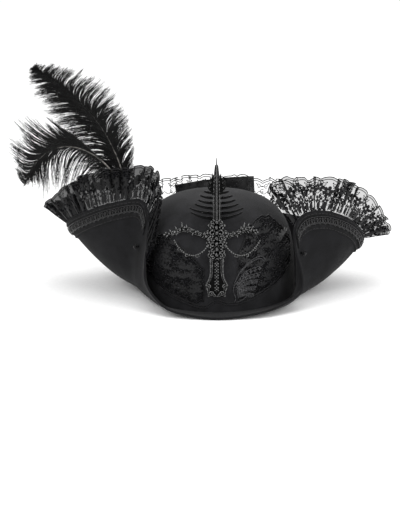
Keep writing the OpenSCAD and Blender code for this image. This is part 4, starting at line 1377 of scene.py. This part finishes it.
def make_plumes():
    tall = [np.array(p, float) for p in (STEM_TOP + (0, 1.5, 0), (-97, 7, 145), (-118, 13, 190), (-188, 15, 233))]
    curled = [np.array(p, float) for p in (STEM_TOP + (0, -1.5, 0), (-100, -3, 150), (-172, -3, 185), (-198, -3, 116))]
    make_plume("plume_tall", tall, 12, [
        ("outer", [(0.08, -85, 128), (0.16, -85, 148), (0.25, -86, 166), (0.36, -90, 184), (0.48, -99, 201),
                   (0.6, -112, 216), (0.72, -129, 227), (0.84, -150, 235), (0.93, -169, 238), (1.0, -187, 238)],
         1000, 0.5, 60, 3.2),
        ("inner", [(0.04, -118, 108), (0.2, -146, 138), (0.3, -157, 151), (0.4, -165, 164), (0.5, -173, 178),
                   (0.6, -182, 191), (0.7, -189, 202), (0.8, -192, 212), (0.9, -193, 222), (1.0, -195, 232)],
         1200, 0.42, 54, 3.6),
        ("down", [(0.02, -78, 118), (0.05, -70, 126), (0.08, -63, 128), (0.1, -58, 122)], 46, 0.5, 60, 2.0)],
        (1.3, 0.35), 101)
    make_plume("plume_curled", curled, -1, [
        ("outer", [(0.3, -158, 172), (0.42, -176, 184), (0.52, -196, 187), (0.62, -208, 178), (0.72, -213, 165),
                   (0.83, -214, 150), (0.92, -211, 136), (1.0, -206, 122)], 460, 0.5, 30, 3.0),
        ("inner", [(0.12, -124, 110), (0.3, -150, 104), (0.45, -164, 99), (0.6, -176, 97), (0.74, -186, 102),
                   (0.86, -193, 107), (1.0, -202, 112)], 460, 0.42, 30, 3.0)], (1.1, 0.3), 151)


def make_socket():
    tube = pin((SOCKET_X, 0, 47), SOCKET_R, SOCKET_LONG, False, 48)
    bpy.ops.mesh.primitive_cube_add(size=1, location=(-0.0872, 0, 0.038), scale=(0.0056, 0.012, 0.016))
    patch = bpy.context.object
    # The socket takes the brim's felt, painted darker as painted shade.
    socket = tidy_join([tube, patch], "plume_socket_felt", SHADED_BRIM_FELT, "hat")
    bore(socket, pin((SOCKET_X, 0, 49), SOCKET_BORE_R, SOCKET_LONG, False), has_joined_parts=True)
    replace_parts(socket, "plume_socket")
    turns = np.linspace(0, 2 * np.pi * TAPE_TURNS, TAPE_TURNS * 14)
    wound = np.c_[SOCKET_X + STEM_R * np.cos(turns), STEM_R * np.sin(turns), 28.4 + 55 * turns / turns[-1]]
    stem = tidy_join([rods([(wound, 0.24), ([(SOCKET_X, 0, 28.2), (SOCKET_X, 0, 84)], STEM_R)])],
                     "plume_stem_tape", TAPE, "plumes")
    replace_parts(stem, "plume_stem")


make_camera()
make_studio()
make_crown()
make_inside()
make_brim()
for side, u0, u1 in (("right", RIGHT_RIDGE, RIGHT_CORNER), ("left", LEFT_CORNER, LEFT_RIDGE),
                     ("back", RIGHT_CORNER + 0.02, LEFT_CORNER - 0.02)):
    make_facing(side, u0, u1)
    make_braid(side, u0, u1)
make_ruffle("right", RIGHT_RIDGE + 0.2, RIGHT_CORNER - 0.1, 11, 10.5, 4.6, True)
make_ruffle("left", LEFT_CORNER + 0.1, LEFT_RIDGE + 1.75, 23, 9.0, 4.2, True)
make_ruffle("back", RIGHT_CORNER, LEFT_CORNER, 37, 17, 4.4, False)
make_applique("right", 22, 76, (13, 15, 18, 22, 28, 38), (60, 84, 90, 88, 78, 62), 5)
make_applique("left", -72, -13, (34, 24, 19, 14, 10, 14), (62, 72, 74, 66, 58, 46), 6)
make_bright_wing()
make_bow()
make_buttons()
make_boss()
make_arm("right", 1, 12, 36, (-2.5, -1.5, 0.5, 2.5, 3.6, -1.5))
make_arm("left", -1, 10, 48, (-3, -0.5, 3.2, 4.0, -0.5, -3.5))
make_shaft()
make_swag("right", 1, 44)
make_swag("left", -1, 43)
make_spine()
make_ribs("right", 1)
make_ribs("left", -1)
make_posts()
make_socket()
make_plumes()
